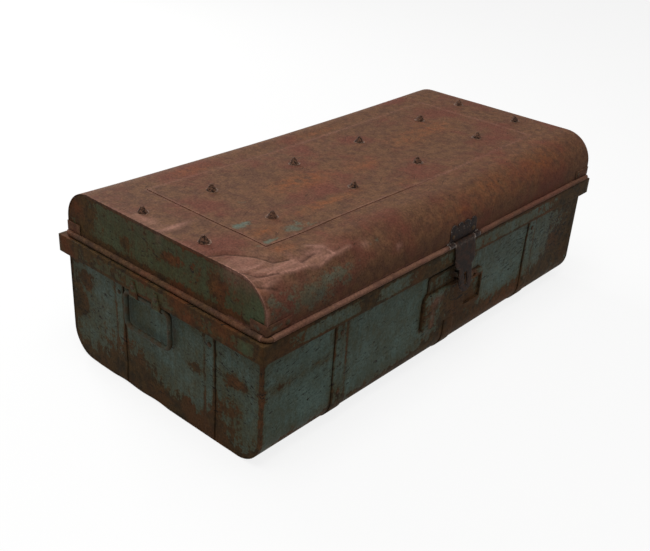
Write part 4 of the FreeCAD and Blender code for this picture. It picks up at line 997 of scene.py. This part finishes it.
def stud_head(tree, radius, height):
    """Washer under a cone with a blunt, rounded tip."""
    washer_r = add(tree, "ShaderNodeMath", {0: radius, 1: WASHER_RADIUS / STUD_RADIUS}, operation="MULTIPLY")
    tip_r = add(tree, "ShaderNodeMath", {0: radius, 1: STUD_TIP / STUD_RADIUS}, operation="MULTIPLY")
    thick = add(tree, "ShaderNodeMath", {0: height, 1: WASHER_THICK / STUD_HEIGHT}, operation="MULTIPLY")
    body = add(tree, "ShaderNodeMath", {0: height, 1: thick}, operation="SUBTRACT")
    washer = add(tree, "GeometryNodeMeshCone",
                 {"Vertices": 32, "Radius Top": tip_r, "Radius Bottom": washer_r, "Depth": thick}, out="Mesh")
    cone = add(tree, "GeometryNodeMeshCone",
               {"Vertices": 24, "Side Segments": 3, "Radius Top": tip_r, "Radius Bottom": radius,
                "Depth": body}, out="Mesh")
    up = add(tree, "ShaderNodeCombineXYZ", {2: thick})
    cone = add(tree, "GeometryNodeTransform", {"Geometry": cone, "Translation": up})
    ball = add(tree, "GeometryNodeMeshUVSphere", {"Segments": 20, "Rings": 8, "Radius": tip_r}, out="Mesh")
    top = add(tree, "ShaderNodeCombineXYZ", {2: height})
    ball = add(tree, "GeometryNodeTransform",
               {"Geometry": ball, "Translation": top, "Scale": (1, 1, TIP_FLATNESS)})
    joined = tree.nodes.new("GeometryNodeJoinGeometry")
    for part in (ball, cone, washer):
        tree.links.new(part, joined.inputs[0])
    return joined.outputs[0]


def fasteners(name, groups, tree, material, radius, height, askew, seed):
    """One mesh of fasteners for a body, on the pressed sheet under each."""
    body = body_of[groups[0]]
    found = [seat for group in groups for seat in seats(group)]
    feet = np.array([foot for foot, _ in found])
    facings = np.array([facing for _, facing in found])
    feet = feet + press[body](feet)
    cloud = bpy.data.meshes.new(name + "_seats")
    cloud.from_pydata(feet.tolist(), [], [])
    layer = cloud.attributes.new("facing", "FLOAT_VECTOR", "POINT")
    layer.data.foreach_set("vector", facings.astype(np.float32).ravel())
    holder = bpy.data.objects.new(name + "_seats", cloud)
    bpy.context.scene.collection.objects.link(holder)
    heads = holder.modifiers.new("Heads", "NODES")
    heads.node_group = tree
    given = {"Radius": radius, "Height": height, "Askew": askew, "Seed": seed}
    for item in tree.interface.items_tree:
        if item.name in given:
            heads[item.identifier] = given[item.name]
    graph = bpy.context.evaluated_depsgraph_get()
    mesh = bpy.data.meshes.new_from_object(holder.evaluated_get(graph))
    mesh.name = name
    bpy.data.objects.remove(holder)
    mesh.shade_smooth()
    mesh.set_sharp_from_angle(angle=HEAD_CORNER)
    points = np.zeros(len(mesh.vertices) * 3, np.float32)
    mesh.vertices.foreach_get("co", points)
    from_foot = points.reshape(-1, 1, 3) - feet
    beside = from_foot - (from_foot * facings).sum(axis=2, keepdims=True) * facings
    nearest = np.linalg.norm(from_foot, axis=2).argmin(axis=1)
    reach = np.linalg.norm(beside, axis=2)[np.arange(len(nearest)), nearest]
    put_layer(mesh, "edge", np.full(len(mesh.vertices), FAR))
    # Painted glints on each head, and a painted highlight on the rims of the studs' washers
    put_layer(mesh, "rubbed", HEAD_GLINT + WASHER_HIGHLIGHT * smooth((reach / radius - WASHER_FROM) / WASHER_STRETCH))
    return finish_piece(mesh, name, body, [material], groups)


rivet_tree = head_tree("rivet_heads", rivet_iron, rivet_head)
stud_tree = head_tree("cone_studs", stud_iron, stud_head)
base_rivets = [node for node in nodes if node.endswith("rivets") and body_of[node] == "base"]
lid_rivets = [node for node in nodes if node.endswith("rivets") and body_of[node] == "lid"]
for name, groups, seed in (("base_rivet_heads", base_rivets, 4), ("lid_rivet_heads", lid_rivets, 9)):
    fasteners(name, groups, rivet_tree, rivet_iron, RIVET_RADIUS, RIVET_HEIGHT, RIVET_LEAN, seed=seed)
fasteners("lid_cone_studs", ["lid_studs"], stud_tree, stud_iron, STUD_RADIUS, STUD_HEIGHT, STUD_LEAN, seed=2)

# Stage, light and camera: half the floor's side, its glow where it is seen, the room's light, where lamps aim
FLOOR_HALF = 9.0
FLOOR_GLOW = 0.84
ROOM_LIGHT = 0.285
LAMP_AIM = Vector((0, 0, 0.15))


def plane(name, half, material):
    """Level square at the floor's height."""
    corners = [(-half, -half, 0), (half, -half, 0), (half, half, 0), (-half, half, 0)]
    mesh = bpy.data.meshes.new(name)
    mesh.from_pydata(corners, [], [(0, 1, 2, 3)])
    mesh.materials.append(material)
    made = bpy.data.objects.new(name, mesh)
    bpy.context.scene.collection.objects.link(made)
    return made


def seen_directly(tree):
    """1 for rays from the camera and for those in gloss or glass."""
    rays = tree.nodes.new("ShaderNodeLightPath")
    some = add(tree, "ShaderNodeMath", {0: rays.outputs["Is Camera Ray"], 1: rays.outputs["Is Glossy Ray"]},
               operation="ADD", use_clamp=True)
    return add(tree, "ShaderNodeMath", {0: some, 1: rays.outputs["Is Transmission Ray"]}, operation="ADD",
               use_clamp=True)


# Matt white board: it keeps the trunk's shadow, and is as white as paper where it is seen
floor_board, tree = new_material("matt_white_board")
seen = seen_directly(tree)
shade = add(tree, "ShaderNodeMix", {BY: seen, FROM: linear("#aaa9a6"), TO: linear("#fbfbfa")},
            data_type="RGBA")
board = add(tree, "ShaderNodeBsdfDiffuse", {"Color": shade})
glow = add(tree, "ShaderNodeEmission", {"Color": (1, 1, 1, 1), "Strength": 1.0})
share = add(tree, "ShaderNodeMath", {0: seen, 1: FLOOR_GLOW}, operation="MULTIPLY")
surface = add(tree, "ShaderNodeMixShader", {0: share, 1: board, 2: glow})
add(tree, "ShaderNodeOutputMaterial", {"Surface": surface})
floor = plane("floor", FLOOR_HALF, floor_board)

world = bpy.data.worlds.new("studio")
bpy.context.scene.world = world
world.use_nodes = True
world.node_tree.nodes.clear()
tree = world.node_tree
room = add(tree, "ShaderNodeBackground", {"Color": (1, 1, 1, 1), "Strength": ROOM_LIGHT})
white = add(tree, "ShaderNodeBackground", {"Color": (1, 1, 1, 1), "Strength": 1.0})
sky = add(tree, "ShaderNodeMixShader", {0: seen_directly(tree), 1: room, 2: white})
add(tree, "ShaderNodeOutputWorld", {"Surface": sky})


def softbox(name, place, size, power):
    """Square soft light that looks at the trunk's middle."""
    lamp = bpy.data.lights.new(name, "AREA")
    lamp.shape = "SQUARE"
    lamp.size = size
    lamp.energy = power
    made = bpy.data.objects.new(name, lamp)
    bpy.context.scene.collection.objects.link(made)
    made.location = place
    made.rotation_mode = "QUATERNION"
    made.rotation_quaternion = (LAMP_AIM - Vector(place)).to_track_quat("-Z", "Y")


softbox("key", place=(-0.7, -0.3, 2.6), size=1.6, power=42.0)
softbox("back", place=(0.2, 3.0, 1.6), size=1.2, power=60.0)

# The photo's camera, fitted to the trunk's straight edges. Its focal length is in pixels of a frame this wide
FRAME_WIDTH = 650
FOCAL_PIXELS = 908.3
CAMERA_PLACE = Vector((-1.2052, -0.9528, 0.8846))
AZIMUTH, ELEVATION, ROLL = (math.radians(angle) for angle in (-50.08, 27.96, 3.80))
camera = bpy.data.cameras.new("camera")
camera.sensor_width = 36.0
camera.sensor_fit = "HORIZONTAL"
camera.lens = FOCAL_PIXELS * camera.sensor_width / FRAME_WIDTH
behind = Vector((math.sin(AZIMUTH) * math.cos(ELEVATION), -math.cos(AZIMUTH) * math.cos(ELEVATION),
                 math.sin(ELEVATION)))
right = Vector((0, 0, 1)).cross(behind).normalized()
up = behind.cross(right)
across = math.cos(ROLL) * right + math.sin(ROLL) * up
upward = math.cos(ROLL) * up - math.sin(ROLL) * right
seen_from = bpy.data.objects.new("camera", camera)
bpy.context.scene.collection.objects.link(seen_from)
turned = Matrix((across, upward, behind)).transposed()
seen_from.matrix_world = Matrix.LocRotScale(CAMERA_PLACE, turned.to_quaternion(), None)
bpy.context.scene.camera = seen_from
bpy.context.scene.view_settings.view_transform = "Standard"
